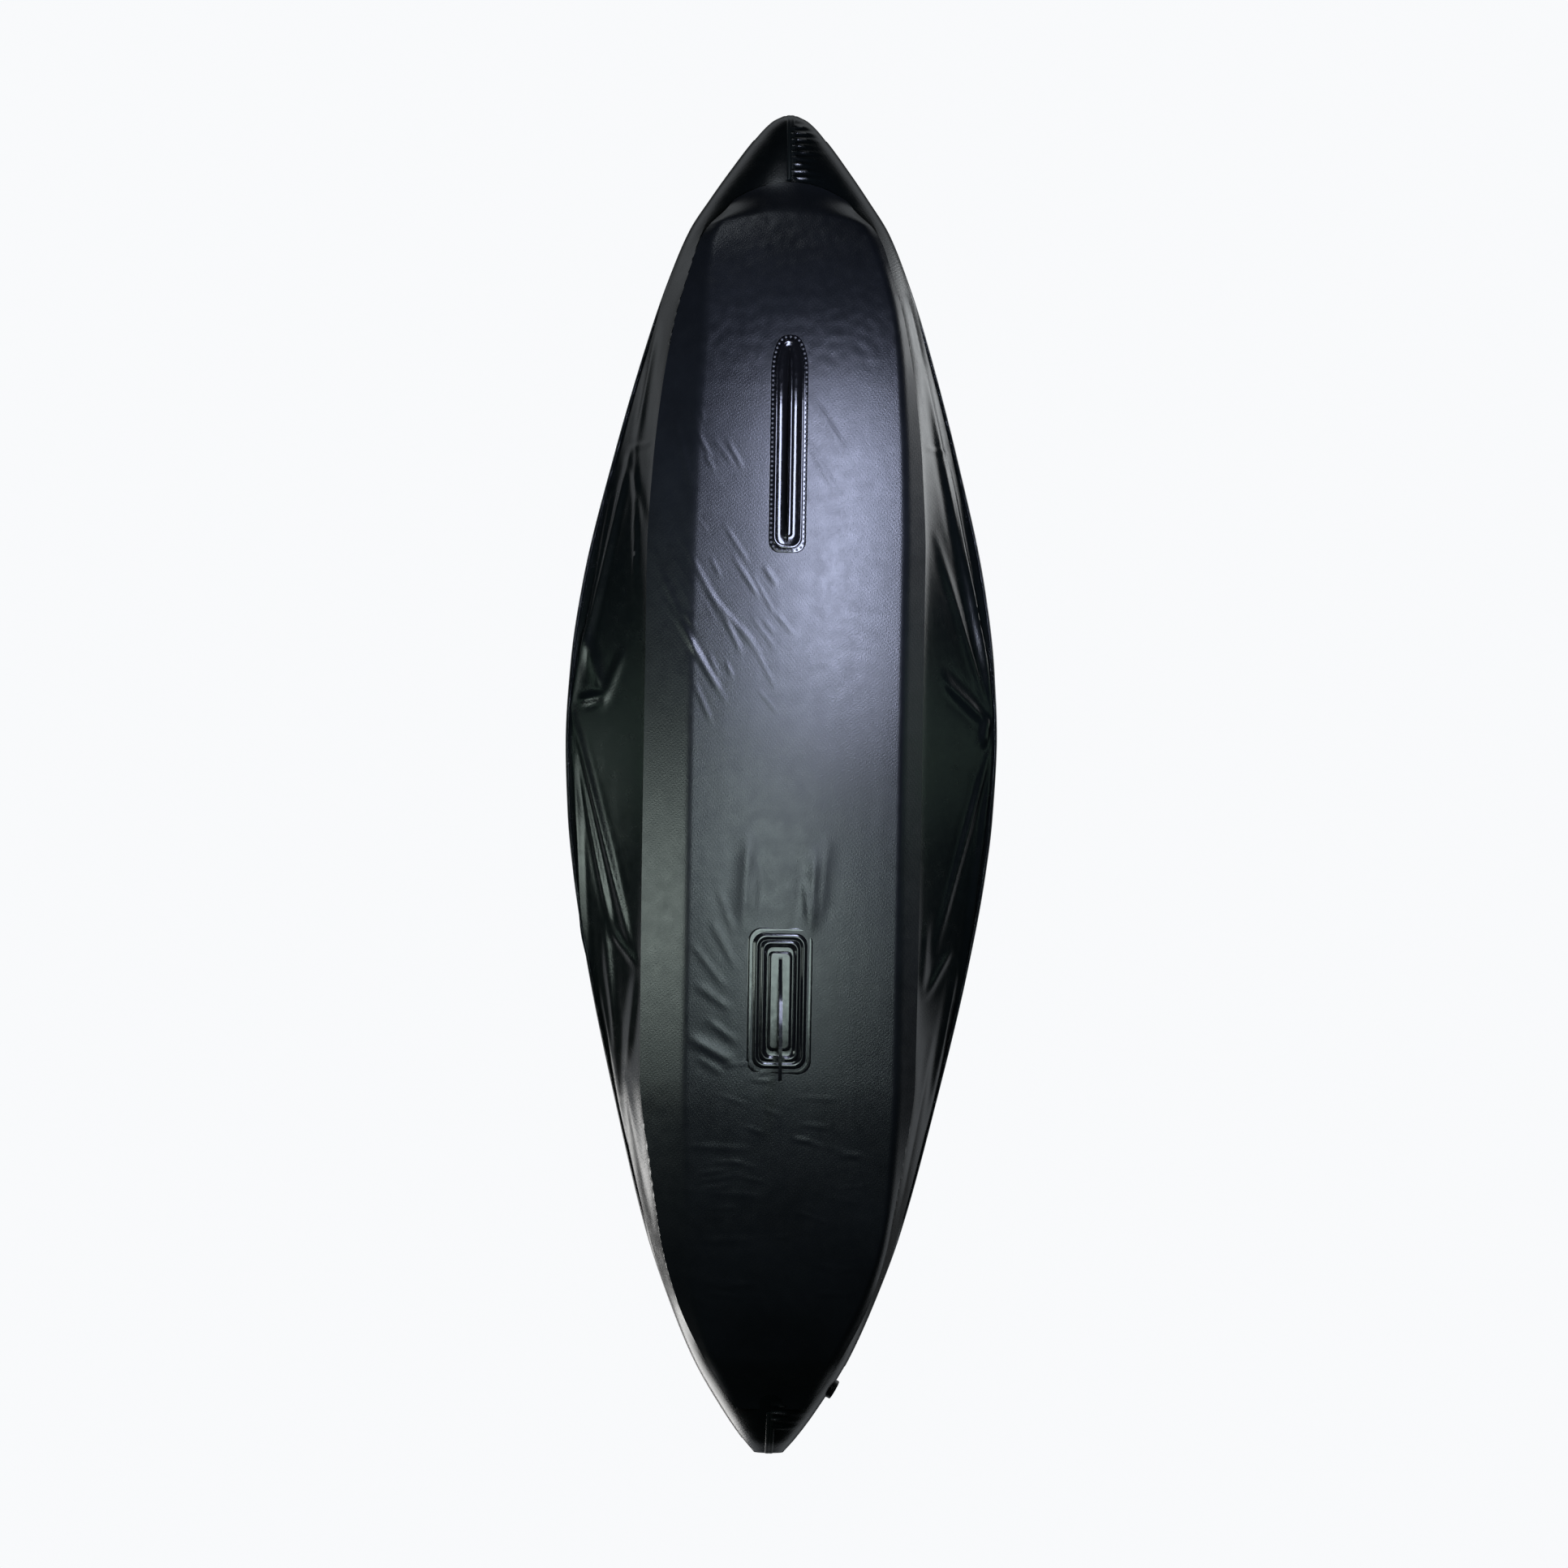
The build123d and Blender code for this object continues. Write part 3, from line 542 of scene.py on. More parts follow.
def floorRing(y):
    flat, bottom, out, up, top = floorSize(y)
    inner, outer, low, high = chamberSpan(y)
    ring = []
    near = creasesNear(y, "bottom")
    n = floorShape["under"]
    for i in range(n + 1):
        x = -out + 2 * out * i / n
        z = bottomHeight(x, y)
        z -= creaseHeight(x, y, near) * (1 if abs(x) < out - 0.01 else 0.3)
        ripple = 0.0001 * noise.noise(Vector((x * 34, y * 15, 5)))
        z -= 0.0005 * noise.noise(Vector((x * 7, y * 3.2, 2))) + ripple
        z -= 0.0006 * noise.noise(Vector((x * 46, y * 46, 8))) * ease((y - 0.84) / 0.16)
        arch = bowArch(x / out, y)
        if y > 1.18:  # the front end lies close under the nose
            hug = noseUnder(x, y - arch)
            z += (hug - 0.003 - z) * ease((y - 1.262) / 0.074)
            z = min(z, hug - 0.0015)
        ring.append(Vector((x, y - arch, z)))
    middle, level = (inner + outer) / 2, (low + high) / 2
    high2, wide = (high - low) / 2 + 0.0012, (outer - inner) / 2 + 0.0012
    m = floorShape["over"]
    for i in range(m + 1):
        x = out - 2 * out * i / m
        z = top - 0.0015
        a = abs(x)
        if a < inner + 0.02:  # lengthwise beams show as soft tubes inside the boat
            phase = math.pi * floorShape["beams"] * a / (2 * 0.236) + math.pi / 2
            beam = floorShape["beamRise"] * abs(math.sin(phase)) ** 0.6
            z = top - floorShape["beamRise"] - 0.0015 + beam
        if a > middle - wide:
            k = clamp((a - middle) / wide, -1, 1)
            under = level - high2 * math.sqrt(max(0.0, 1 - k * k))
            under = under * (1 - noseShare(y)) + noseUnder(x, y) * noseShare(y)
            z = min(z, max(under, bottomHeight(x, y) + 0.002))
        arch = bowArch(x / out, y)
        if y > 1.18:
            z = max(z, noseUnder(x, y - arch) + 0.002)
        ring.append(Vector((x, y - arch, z)))
    return ring


rng = random.Random(11)


def fineCrease(xs, ys, longs, leans, halves, highs, keepFrom):  # one short crease in the bottom panel
    x = rng.uniform(*xs)
    y = rng.uniform(*ys)
    if x < keepFrom and y > 0.5:  # none beside the fin
        return
    long = rng.uniform(*longs)
    lean = math.radians(rng.uniform(*leans))
    end = (x - long * math.cos(lean), y - long * math.sin(lean))
    creases["bottom"].append((x, y, *end, rng.uniform(*halves), rng.uniform(*highs)))


for i in range(34):  # slanting ones on the starboard bow
    fineCrease((0.02, 0.285), (0.2, 0.86), (0.035, 0.11), (48, 66), (0.0026, 0.0045), (0.0004, 0.0011), 0.11)
for i in range(30):  # fainter crosswise ones towards the stern
    fineCrease((-0.14, 0.19), (-1.15, -0.6), (0.03, 0.1), (-14, 22), (0.003, 0.005), (0.0003, 0.0007), -1.0)

bm = bmesh.new()
length, rows = floorShape["sternEnd"] - floorShape["bowEnd"], floorShape["rows"]
ringLoft(bm, [floorRing(floorShape["bowEnd"] + length * i / rows) for i in range(rows + 1)])
finishPiece("floor_chamber_skin", bm, "hull", hullFabric, ("floor_chamber",), sharp=32)
print("floor chamber made")

# Tapes and rub strips
tape = {"half": 0.009, "proud": 0.0012, "section": [
    (-1.0, -0.4), (-0.9, 0.6), (-0.5, 1.0), (-0.12, 1.05), (0, 0.5), (0.12, 1.05), (0.5, 1.0), (0.9, 0.6),
    (1.0, -0.4), (0, -0.9)]}
for name, way, first in (("bow", 1, 1.345), ("stern", -1, 1.4)):
    bm = bmesh.new()
    path = []
    for i in range(30):
        y = way * (first + (1.4975 - first) * (i / 29) ** 0.8)
        path.append(Vector((0, y, chamberPoint(y, -118, 1).z)))
    tip = chamberSpan(way * 1.498)
    for i in range(1, 7):
        path.append(Vector((0, way * 1.4985, path[29].z + (tip[3] - path[29].z) * i / 6)))
    rings = []
    for i, p in enumerate(path):
        d = (path[min(i + 1, len(path) - 1)] - path[max(i - 1, 0)]).normalized()
        out = Vector((1, 0, 0)).cross(d) * way
        out = out if out.z < 0 or out.y * way > 0 else -out
        rings.append([p + Vector((tape["half"] * a, 0, 0)) + out * tape["proud"] * b
                      for a, b in tape["section"]])
    ringLoft(bm, rings)
    finishPiece(name + "_seam_tape_skin", bm, "hull", tapeFabric, (name + "_seam_tape",))

rub = {"half": 0.005, "proud": 0.0014, "bead": 0.0008}
for side, name in ((1, "starboard"), (-1, "port")):
    bm = bmesh.new()
    rings = []
    for y in rowStations(300, 1.442, -1.466 if side > 0 else -1.3):
        inner, outer, low, high = chamberSpan(y)
        level = (low + high) / 2
        proud, crest = rub["proud"], rub["proud"] + rub["bead"]
        cross = [(-0.003, -1), (proud * 0.6, -1), (proud, -0.8), (crest, -0.35), (crest, 0.35),
                 (proud, 0.8), (proud * 0.6, 1), (-0.003, 1)]
        wave = 0.0006 * noise.noise(Vector((y * 30, side, 1)))
        rings.append([Vector((side * (outer - 0.0012 + a), y, level + wave + rub["half"] * b))
                      for a, b in cross])
    ringLoft(bm, rings)
    finishPiece(name + "_rub_strip_skin", bm, "hull", tapeFabric, (name + "_rub_strip",))
print("tapes made")

# Tracking fin and its patch
fin = {"wide": 0.082, "long": 0.482, "middle": 0.75, "dots": 0.0105, "dotSize": 0.0029,
       "bladeFront": 0.964, "bladeBack": 0.532, "depth": 0.052, "bladeHalf": 0.0035}


def patchOutline(wide, long, middle, n=14):  # pointed nose forward, squared heel
    half, front, back = wide / 2, middle + long / 2, middle - long / 2
    pts = []
    corner = min(half * 0.75, 0.024)
    for k in range(7):
        a = math.radians(-90 + 90 * k / 6)
        pts.append((half - corner + corner * math.cos(a), back + corner + corner * math.sin(a)))
    shoulder = front - long * 0.17
    for k in range(1, 12):
        pts.append((half, back + corner + (shoulder - back - corner) * k / 12))
    for k in range(n + 1):
        a = math.radians(90 * k / n)
        pts.append((half * math.cos(a) ** 0.75, shoulder + (front - shoulder) * math.sin(a) ** 1.05))
    return pts + [(-x, y) for x, y in reversed(pts[:-1])]


def layered(bm, steps, middle):  # steps: inset from the outline, height below the bottom
    rings = []
    for inset, drop in steps:
        outline = patchOutline(fin["wide"] - 2 * inset, fin["long"] - 2.2 * inset, middle)
        rings.append([Vector((x, y, bottomHeight(x, y) - drop)) for x, y in outline])
    ringLoft(bm, rings)


bm = bmesh.new()
layered(bm, [(0.0, -0.001), (0.0, 0.0012), (0.0006, 0.002), (0.0016, 0.0023), (0.0075, 0.0023),
             (0.0078, 0.001)], fin["middle"])
finishPiece("tracking_fin_patch_skin", bm, "hull", finPlastic, ("tracking_fin_patch",))

bm = bmesh.new()
layered(bm, [(0.0085, 0.0), (0.0085, 0.004), (0.0092, 0.005), (0.0102, 0.0055), (0.014, 0.0055),
             (0.0155, 0.0048), (0.0175, 0.004), (0.03, 0.004), (0.0325, 0.0046), (0.0345, 0.0062),
             (0.036, 0.0064)], fin["middle"])
blade = []
for i in range(60):
    t = i / 59
    y = fin["bladeFront"] + (fin["bladeBack"] - fin["bladeFront"]) * t
    drop = fin["depth"] * (0.1 + 0.9 * math.sin(math.pi * 0.5 * clamp(t / 0.86)) ** 1.1)
    if t > 0.86:
        drop *= math.sqrt(max(0.0, 1 - ((t - 0.86) / 0.14) ** 2)) * 0.85 + 0.15 * (1 - (t - 0.86) / 0.14)
    if t < 0.06:
        drop *= math.sqrt(t / 0.06 + 0.02)
    base = bottomHeight(0, y) - 0.002
    half = fin["bladeHalf"] * (0.45 + 0.55 * math.sin(math.pi * clamp(t, 0.02, 0.98)) ** 0.5)
    ring = []
    for x, k in ((1.9, 0), (1.15, 0.08), (1.0, 0.2), (0.9, 0.5), (0.75, 0.8), (0.45, 0.96), (0, 1.0)):
        ring.append(Vector((half * x, y, base - drop * k)))
    ring += [Vector((-p.x, p.y, p.z)) for p in reversed(ring[:-1])]
    blade.append(ring)
ringLoft(bm, blade)
finishPiece("tracking_fin_skin", bm, "hull", finPlastic, ("tracking_fin",))

bm = bmesh.new()  # weld dots all round the patch
ringPoints = patchOutline(fin["wide"] - 0.0085, fin["long"] - 0.0095, fin["middle"], 22)
walk, carry = [], 0.0
for (x0, y0), (x1, y1) in zip(ringPoints, ringPoints[1:] + ringPoints[:1]):
    run = math.hypot(x1 - x0, y1 - y0)
    at = carry
    while at < run:
        walk.append((x0 + (x1 - x0) * at / run, y0 + (y1 - y0) * at / run))
        at += fin["dots"]
    carry = at - run
for x, y in walk:
    place = Matrix.Translation((x, y, bottomHeight(x, y) - 0.0023)) @ Matrix.Diagonal((1, 1, 0.55, 1))
    bmesh.ops.create_icosphere(bm, subdivisions=2, radius=fin["dotSize"], matrix=place)
finishPiece("tracking_fin_weld_dots", bm, "hull", weldDotsPaintedHighlight)
print("tracking fin made")

# Skeg box
skegBox = {
    "wide": 0.144, "long": 0.324, "middle": -0.478, "crownWide": 0.054, "crownLong": 0.22,
    "steps": [  # inset, depth below the bottom, corner radius; from the flange inwards
        (0.0, 0.0, 0.03), (0.0, 0.0016, 0.03), (0.0012, 0.0026, 0.029), (0.0045, 0.003, 0.028),
        (0.01, 0.0024, 0.026), (0.0125, 0.0024, 0.025), (0.014, 0.004, 0.024), (0.0165, 0.0058, 0.023),
        (0.02, 0.0062, 0.022), (0.0235, 0.0056, 0.021), (0.0255, 0.004, 0.02), (0.0275, 0.004, 0.019),
        (0.029, 0.006, 0.018), (0.031, 0.0082, 0.017), (0.0345, 0.0088, 0.016), (0.0375, 0.008, 0.015),
        (0.0395, 0.006, 0.014), (0.044, 0.0056, 0.013)],
    "crown": [(0.0, 0.0056, 0.012), (0.0004, 0.015, 0.012), (0.0016, 0.0182, 0.011),
              (0.0036, 0.0192, 0.01), (0.0075, 0.0192, 0.008)],
    "slots": [(0.0083, -0.0205, -0.012), (0.0266, -0.0129, -0.0063)],  # width, from and to height
}
bm = bmesh.new()
zTop = hull["keel"] - 0.0002
rings = []
for part, wide, long in (("steps", "wide", "long"), ("crown", "crownWide", "crownLong")):
    for inset, drop, corner in skegBox[part]:
        outline = roundedRect(skegBox[wide] - 2 * inset, skegBox[long] - 2 * inset, corner, 8)
        rings.append([Vector((x, skegBox["middle"] + y, zTop - drop)) for x, y in outline])
ringLoft(bm, rings)
skegBoxSkin = finishPiece("skeg_box_skin", bm, "hull", skegPlastic, ("skeg_box",))
cutter = bpy.data.meshes.new("slot")  # slot and channel the skeg slides in
bmc = bmesh.new()
for w, z0, z1 in skegBox["slots"]:
    place = Matrix.Translation((0, skegBox["middle"] - 0.012 - 0.01, hull["keel"] - 0.0003 + (z0 + z1) / 2))
    bmesh.ops.create_cube(bmc, size=1.0, matrix=place @ Matrix.Diagonal((w, 0.24, z1 - z0, 1)))
bmc.to_mesh(cutter)
bmc.free()
cutObject = bpy.data.objects.new("slot", cutter)
scene.collection.objects.link(cutObject)
cut = skegBoxSkin.modifiers.new("slot", "BOOLEAN")
cut.object = cutObject
cut.operation = "DIFFERENCE"
cut.solver = "EXACT"
cut.use_self = True
bpy.context.view_layer.update()
solved = bpy.data.meshes.new_from_object(skegBoxSkin.evaluated_get(bpy.context.evaluated_depsgraph_get()))
skegBoxSkin.modifiers.clear()
skegBoxSkin.data = solved
bpy.data.objects.remove(cutObject)
print("skeg box made")

# Decks and coamings
deck = {"crown": 0.024, "thick": 0.0016, "across": 60, "rows": 110, "pull": 0.0014}
cockpit = {"bow": 0.52, "stern": -0.6, "sweep": 0.16, "roll": 0.03, "steps": 150, "around": 36}


def deckHeight(x, y):
    inner, outer, low, top = chamberSpan(y)
    edge = (inner + outer) / 2
    crown = deck["crown"] * min(1.0, edge / 0.25)
    k = clamp(x / max(edge, 1e-4), -1, 1)
    return top + 0.0005 + crown * (1 - k * k)


def cockpitEdge(x, end):  # y of the deck's edge at this x
    way = 1 if end > 0 else -1
    inner, outer, low, top = chamberSpan(end)
    edge = (inner + outer) / 2 + 0.006
    sweep = cockpit["sweep"]
    radius = (edge * edge + sweep * sweep) / (2 * sweep)
    x = clamp(abs(x), 0, edge)
    return end + way * (sweep - radius + math.sqrt(max(0.0, radius * radius - x * x)))


def makeDeck(name, end, tip):
    bm = bmesh.new()
    rings = []
    n = deck["across"]
    for i in range(deck["rows"] + 1):
        t = i / deck["rows"]
        ring = []
        for j in range(n + 1):
            u = -1 + 2 * j / n
            y = tip + (end - tip) * t
            for _ in range(3):  # the cockpit end is curved, so x and y settle together
                inner, outer, low, top = chamberSpan(y)
                x = u * (inner + outer) / 2
                y = tip + (cockpitEdge(x, end) - tip) * t
            inner, outer, low, top = chamberSpan(y)
            x = u * ((inner + outer) / 2 + 0.004)
            z = deckHeight(x, y) + 0.001
            fall = 1 - abs(u) ** 6
            z += fall * 0.0016 * noise.noise(Vector((x * 9, y * 5, 4)))
            pull = math.exp(-((abs(u) - 0.93) / 0.05) ** 2)
            z -= deck["pull"] * pull * (0.5 + 0.5 * math.sin(y * 210 + 3 * math.sin(y * 31)))
            ring.append(Vector((x, y, z)))
        rings.append(ring)
    ringLoft(bm, rings, closed=False)
    bmesh.ops.recalc_face_normals(bm, faces=bm.faces)
    if sum(f.normal.z for f in bm.faces) < 0:
        bmesh.ops.reverse_faces(bm, faces=bm.faces)
    area = sum(f.calc_area() for f in bm.faces)
    bmesh.ops.solidify(bm, geom=bm.faces[:], thickness=deck["thick"])
    piece = finishPiece(name + "_deck_skin", bm, "hull", deckFabric, (name + "_deck",))


def makeCoaming(name, end):
    way = 1 if end > 0 else -1
    inner, outer, low, top = chamberSpan(end)
    edge = (inner + outer) / 2 + 0.006
    far = end + way * cockpit["sweep"]
    ends = top + 0.017
    crest = chamberSpan(far)[3] + deck["crown"] + 0.024
    a, m, b = Vector((-edge, end, ends)), Vector((0, far, crest)), Vector((edge, end, ends))
    ab, am = b - a, m - a  # circle through the three points
    axis = ab.cross(am)
    toCentre = axis.cross(ab) * am.length_squared + am.cross(axis) * ab.length_squared
    centre = a + toCentre / (2 * axis.length_squared)
    radius = (a - centre).length
    e1 = (a - centre).normalized()
    e2 = axis.normalized().cross(e1)
    total = math.atan2((b - centre).dot(e2), (b - centre).dot(e1))
    mid = math.atan2((m - centre).dot(e2), (m - centre).dot(e1))
    if mid * total < 0 or abs(total) < abs(mid):
        total = total - math.copysign(2 * math.pi, total)
    bm = bmesh.new()
    path, count = [], cockpit["steps"]
    for i in range(count + 1):
        ang = total * i / count
        path.append(centre + (e1 * math.cos(ang) + e2 * math.sin(ang)) * radius)
    r0 = cockpit["roll"]

    def girth(t):  # rounded ends, a pinch behind each, slight unevenness
        s = min(t, 1 - t) * (abs(total) * radius)
        r = r0 if s > r0 else math.sqrt(max(1e-6, r0 * r0 - (r0 - s) ** 2))
        pinch = math.exp(-((s - 0.055) / 0.006) ** 2)
        return r * (1 - 0.05 * pinch) * (1 + 0.008 * noise.noise(Vector((t * 30, end * 5, 0))))

    rings = []
    for i, p in enumerate(path):
        t = i / count
        d = (path[min(i + 1, count)] - path[max(i - 1, 0)]).normalized()
        level = d.cross(Vector((0, 0, 1))).normalized()
        over = level.cross(d).normalized()
        r = girth(t)
        ring = []
        for k in range(cockpit["around"]):
            q = 2 * math.pi * k / cockpit["around"]
            tuck = 0.0006 * math.sin(t * 380) * max(0.0, math.sin(q + 0.6)) ** 8  # inside the bend
            ring.append(p + (level * math.cos(q) + over * math.sin(q)) * (r + tuck))
        rings.append(ring)
    ringLoft(bm, rings)
    piece = finishPiece(name + "_coaming_skin", bm, "hull", deckFabric, (name + "_coaming",))


makeDeck("bow", cockpit["bow"], 1.42)
makeDeck("stern", cockpit["stern"], -1.425)
makeCoaming("bow", cockpit["bow"])
makeCoaming("stern", cockpit["stern"])
print("decks made")

# Seat
def denseRing(outline):  # a point at least every 12 mm
    dense = []
    for (x0, y0), (x1, y1) in zip(outline, outline[1:] + outline[:1]):
        n = max(1, int(math.hypot(x1 - x0, y1 - y0) / 0.012))
        dense += [(x0 + (x1 - x0) * k / n, y0 + (y1 - y0) * k / n) for k in range(n)]
    return dense


def evenRing(dense, z, count):  # the same outline with evenly spaced points
    lengths, total = [0.0], 0.0
    loop = dense + dense[:1]
    for p, q in zip(loop, loop[1:]):
        total += math.hypot(q[0] - p[0], q[1] - p[1])
        lengths.append(total)
    pts = []
    j = 0
    for k in range(count):
        s = total * k / count
        while lengths[j + 1] < s:
            j += 1
        f = (s - lengths[j]) / max(lengths[j + 1] - lengths[j], 1e-9)
        p, q = loop[j], loop[j + 1]
        pts.append(Vector((p[0] + (q[0] - p[0]) * f, p[1] + (q[1] - p[1]) * f, z)))
    return pts


def padBlock(name, w, d, h, corner, body, node, place, crown):
    bm = bmesh.new()
    profile = [(0.03, 0.0), (0.012, 0.004), (0.003, 0.014), (0.0, 0.03), (0.0, h - 0.03),
               (0.003, h - 0.014), (0.012, h - 0.004), (0.03, h)]

    def ringAt(inset):
        return denseRing(roundedRect(w - 2 * inset, d - 2 * inset, max(corner - inset, 0.012), 8))

    count = len(ringAt(0.0))
    ringLoft(bm, [evenRing(ringAt(inset), z, count) for inset, z in profile])
    mesh = bpy.data.meshes.new(name)
    bmesh.ops.recalc_face_normals(bm, faces=bm.faces)
    bm.to_mesh(mesh)
    bm.free()
    piece = bpy.data.objects.new(name, mesh)
    scene.collection.objects.link(piece)
    remesh = piece.modifiers.new("remesh", "REMESH")
    remesh.mode = "VOXEL"
    remesh.voxel_size = seat["voxel"]
    remesh.adaptivity = 0.0
    bpy.context.view_layer.update()
    piece.data = bpy.data.meshes.new_from_object(piece.evaluated_get(bpy.context.evaluated_depsgraph_get()))
    piece.modifiers.clear()
    for v in piece.data.vertices:  # lengthwise channels, crowned between them
        c = v.co
        fx = clamp(1 - (abs(c.x) / (w / 2)) ** 6)
        fy = clamp(1 - (abs(c.y) / (d / 2)) ** 6)
        pitch = w * 0.86 / seat["channels"]
        k = abs((c.x / pitch) % 1.0 - 0.5) * 2  # 1 along a channel, 0 on top of a beam
        groove = math.exp(-((1 - k) / 0.16) ** 2)
        inside = 1 if abs(c.x) < w * 0.45 else 0.0
        if c.z > h * 0.6:
            c.z += crown * fx * fy * 0.5 - 0.013 * groove * clamp(fy * 1.3) * inside
        elif c.z < h * 0.4 and node == "seat_back":
            c.z -= crown * fx * fy * 0.3 - 0.01 * groove * clamp(fy * 1.3) * inside
        tug = 0.004 * (1 - abs(c.z / h - 0.5) * 2)
        pull = tug * (1 - abs(abs(c.y) / (d / 2) - 0.5) * 2) * 0.6
        c.x -= math.copysign(pull, c.x) * (1 if abs(c.x) > w * 0.42 else 0)
        c.z += 0.0014 * noise.noise(Vector((c.x * 22, c.y * 22, c.z * 22)))
    soft = bmesh.new()
    soft.from_mesh(piece.data)
    for _ in range(2):
        bmesh.ops.smooth_vert(soft, verts=soft.verts, factor=0.5,
                              use_axis_x=True, use_axis_y=True, use_axis_z=True)
    bmesh.ops.transform(soft, matrix=place, verts=soft.verts)
    for f in soft.faces:
        f.smooth = True
    soft.to_mesh(piece.data)
    soft.free()
    piece.data.materials.clear()
    piece.data.materials.append(seatFabric)
    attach(piece, body)
    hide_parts(node)


seat = {"wide": 0.36, "long": 0.365, "thick": 0.085, "front": -0.06, "backHigh": 0.33, "backThick": 0.07,
        "recline": 12, "channels": 5, "voxel": 0.005}
floorTop = hull["keel"] + hull["floorThick"]
hinge = Vector((0, seat["front"] - seat["long"] - 0.001, floorTop + 0.0003 + seat["thick"] + 0.0006))
cushionPlace = Matrix.Translation((0, seat["front"] - seat["long"] / 2, floorTop + 0.001))
padBlock("seat_cushion_skin", seat["wide"] - 0.006, seat["long"] - 0.006, seat["thick"] - 0.006, 0.045,
         "hull", "seat_cushion", cushionPlace, 0.01)
backPlace = (Matrix.Translation(hinge) @ Matrix.Rotation(math.radians(seat["recline"]), 4, "X")
             @ Matrix.Translation((0, -0.003, seat["backHigh"] / 2))
             @ Matrix.Rotation(math.radians(90), 4, "X"))
padBlock("seat_back_skin", seat["wide"] - 0.006, seat["backHigh"] - 0.004, seat["backThick"] - 0.006, 0.07,
         "seat_back", "seat_back", backPlace, 0.008)
print("seat made")

# Straps, rings and patches
strap = {
    "wide": 0.025, "thick": 0.0016, "steps": 60, "sag": 0.006, "loopRadius": 0.0036, "loopHalf": 0.0115,
    "section": [(1, -0.4), (1, 0.4), (0.9, 1), (0, 1), (-0.9, 1), (-1, 0.4), (-1, -0.4), (-0.9, -1), (0, -1),
                (0.9, -1)]}
ringPatch = {"y": 0.172, "turn": 24, "steps": [  # radius, height over the chamber
    (0.0375, -0.0006), (0.0378, 0.0008), (0.0372, 0.0016), (0.0352, 0.0018), (0.0345, 0.0014),
    (0.033, 0.0014), (0.0322, 0.0018), (0.025, 0.0018), (0.015, 0.0018), (0.005, 0.0018)]}


def ringFrame(side):  # place of the ring on the chamber, and the way out
    y = ringPatch["y"]
    a = math.radians(ringPatch["turn"])
    inner, outer, low, top = chamberSpan(y)
    x = side * ((inner + outer) / 2 - (outer - inner) / 2 * math.sin(a))
    at = Vector((x, y, (low + top) / 2 + (top - low) / 2 * math.cos(a)))
    out = Vector((-(top - low) * math.sin(a) * side, 0, (outer - inner) * math.cos(a))).normalized()
    return at, out


for side, name in ((1, "starboard"), (-1, "port")):
    at, out = ringFrame(side)
    across = out.cross(Vector((0, 1, 0))).normalized()
    bm = bmesh.new()  # round patch that follows the chamber
    rings = []
    for r, proud in ringPatch["steps"]:
        ring = []
        for k in range(48):
            q = 2 * math.pi * k / 48
            dy, dt = r * math.cos(q), r * math.sin(q)
            turn = 90 + ringPatch["turn"] + math.degrees(dt / 0.118)
            ring.append(chamberPoint(at.y + dy, turn, side, proud))
        rings.append(ring)
    ringLoft(bm, rings)
    finishPiece(name + "_ring_patch_skin", bm, "hull", tapeFabric, (name + "_ring_patch",))
    high = Vector((side * (seat["wide"] / 2 + 0.0124), hinge.y - 0.092, hinge.z + 0.24))
    low3 = at + out * 0.008 + Vector((0, -0.033, 0))
    bm = bmesh.new()
    run = (low3 - high).normalized()
    face = run.cross(across).normalized()
    rings = []
    for i in range(strap["steps"] + 1):
        t = i / strap["steps"]
        p = high.lerp(low3, t) + Vector((0, 0, -strap["sag"] * math.sin(math.pi * t)))
        roll = 0.03 * math.sin(9 * t)
        flat = (across + face * roll).normalized()
        off = run.cross(flat).normalized()
        rings.append([p + flat * strap["wide"] / 2 * a + off * strap["thick"] / 2 * b
                      for a, b in strap["section"]])
    ringLoft(bm, rings)
    centre = at + out * 0.008 + Vector((0, -0.03, 0))
    tail = centre + Vector((0, -0.03, 0))
    bend = []  # folded end round the ring's far bar
    for k in range(15):
        q = math.radians(-100 + 200 * k / 14)
        radius = strap["loopRadius"]
        bend.append(centre + Vector((0, math.cos(q) * radius, 0)) + out * math.sin(q) * radius)
    loop = [tail - out * 0.003] + bend + [tail + out * 0.003]
    rings = []
    for i, p in enumerate(loop):
        d = (loop[min(i + 1, len(loop) - 1)] - loop[max(i - 1, 0)]).normalized()
        off = d.cross(across).normalized()
        rings.append([p + across * strap["loopHalf"] * a + off * 0.0007 * b
                      for a, b in ((1, -1), (1, 1), (-1, 1), (-1, -1))])
    ringLoft(bm, rings)
    piece = finishPiece(name + "_seat_strap_skin", bm, None, webbing, (name + "_seat_strap",))
    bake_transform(piece)
print("straps made")

# CAD pieces that stay, with their own finish
looks = {
    "skeg": skegPlastic, "bow_handle": gripRubber, "stern_handle": gripRubber,
    "bow_handle_base": bucklePlastic, "stern_handle_base": bucklePlastic,
    "starboard_ring": ringSteel, "port_ring": ringSteel,
    "starboard_ring_tab": webbing, "port_ring_tab": webbing,
    "starboard_strap_buckle": bucklePlastic, "port_strap_buckle": bucklePlastic}
for which in ("port", "starboard", "floor"):
    looks[which + "_valve_body"] = valvePlastic
    looks[which + "_valve_cap"] = valvePlastic
    looks[which + "_valve_diaphragm"] = rubberBlack
for node, material in looks.items():
    obj = bpy.data.objects.get(node)
    obj.data.materials.clear()
    obj.data.materials.append(material)

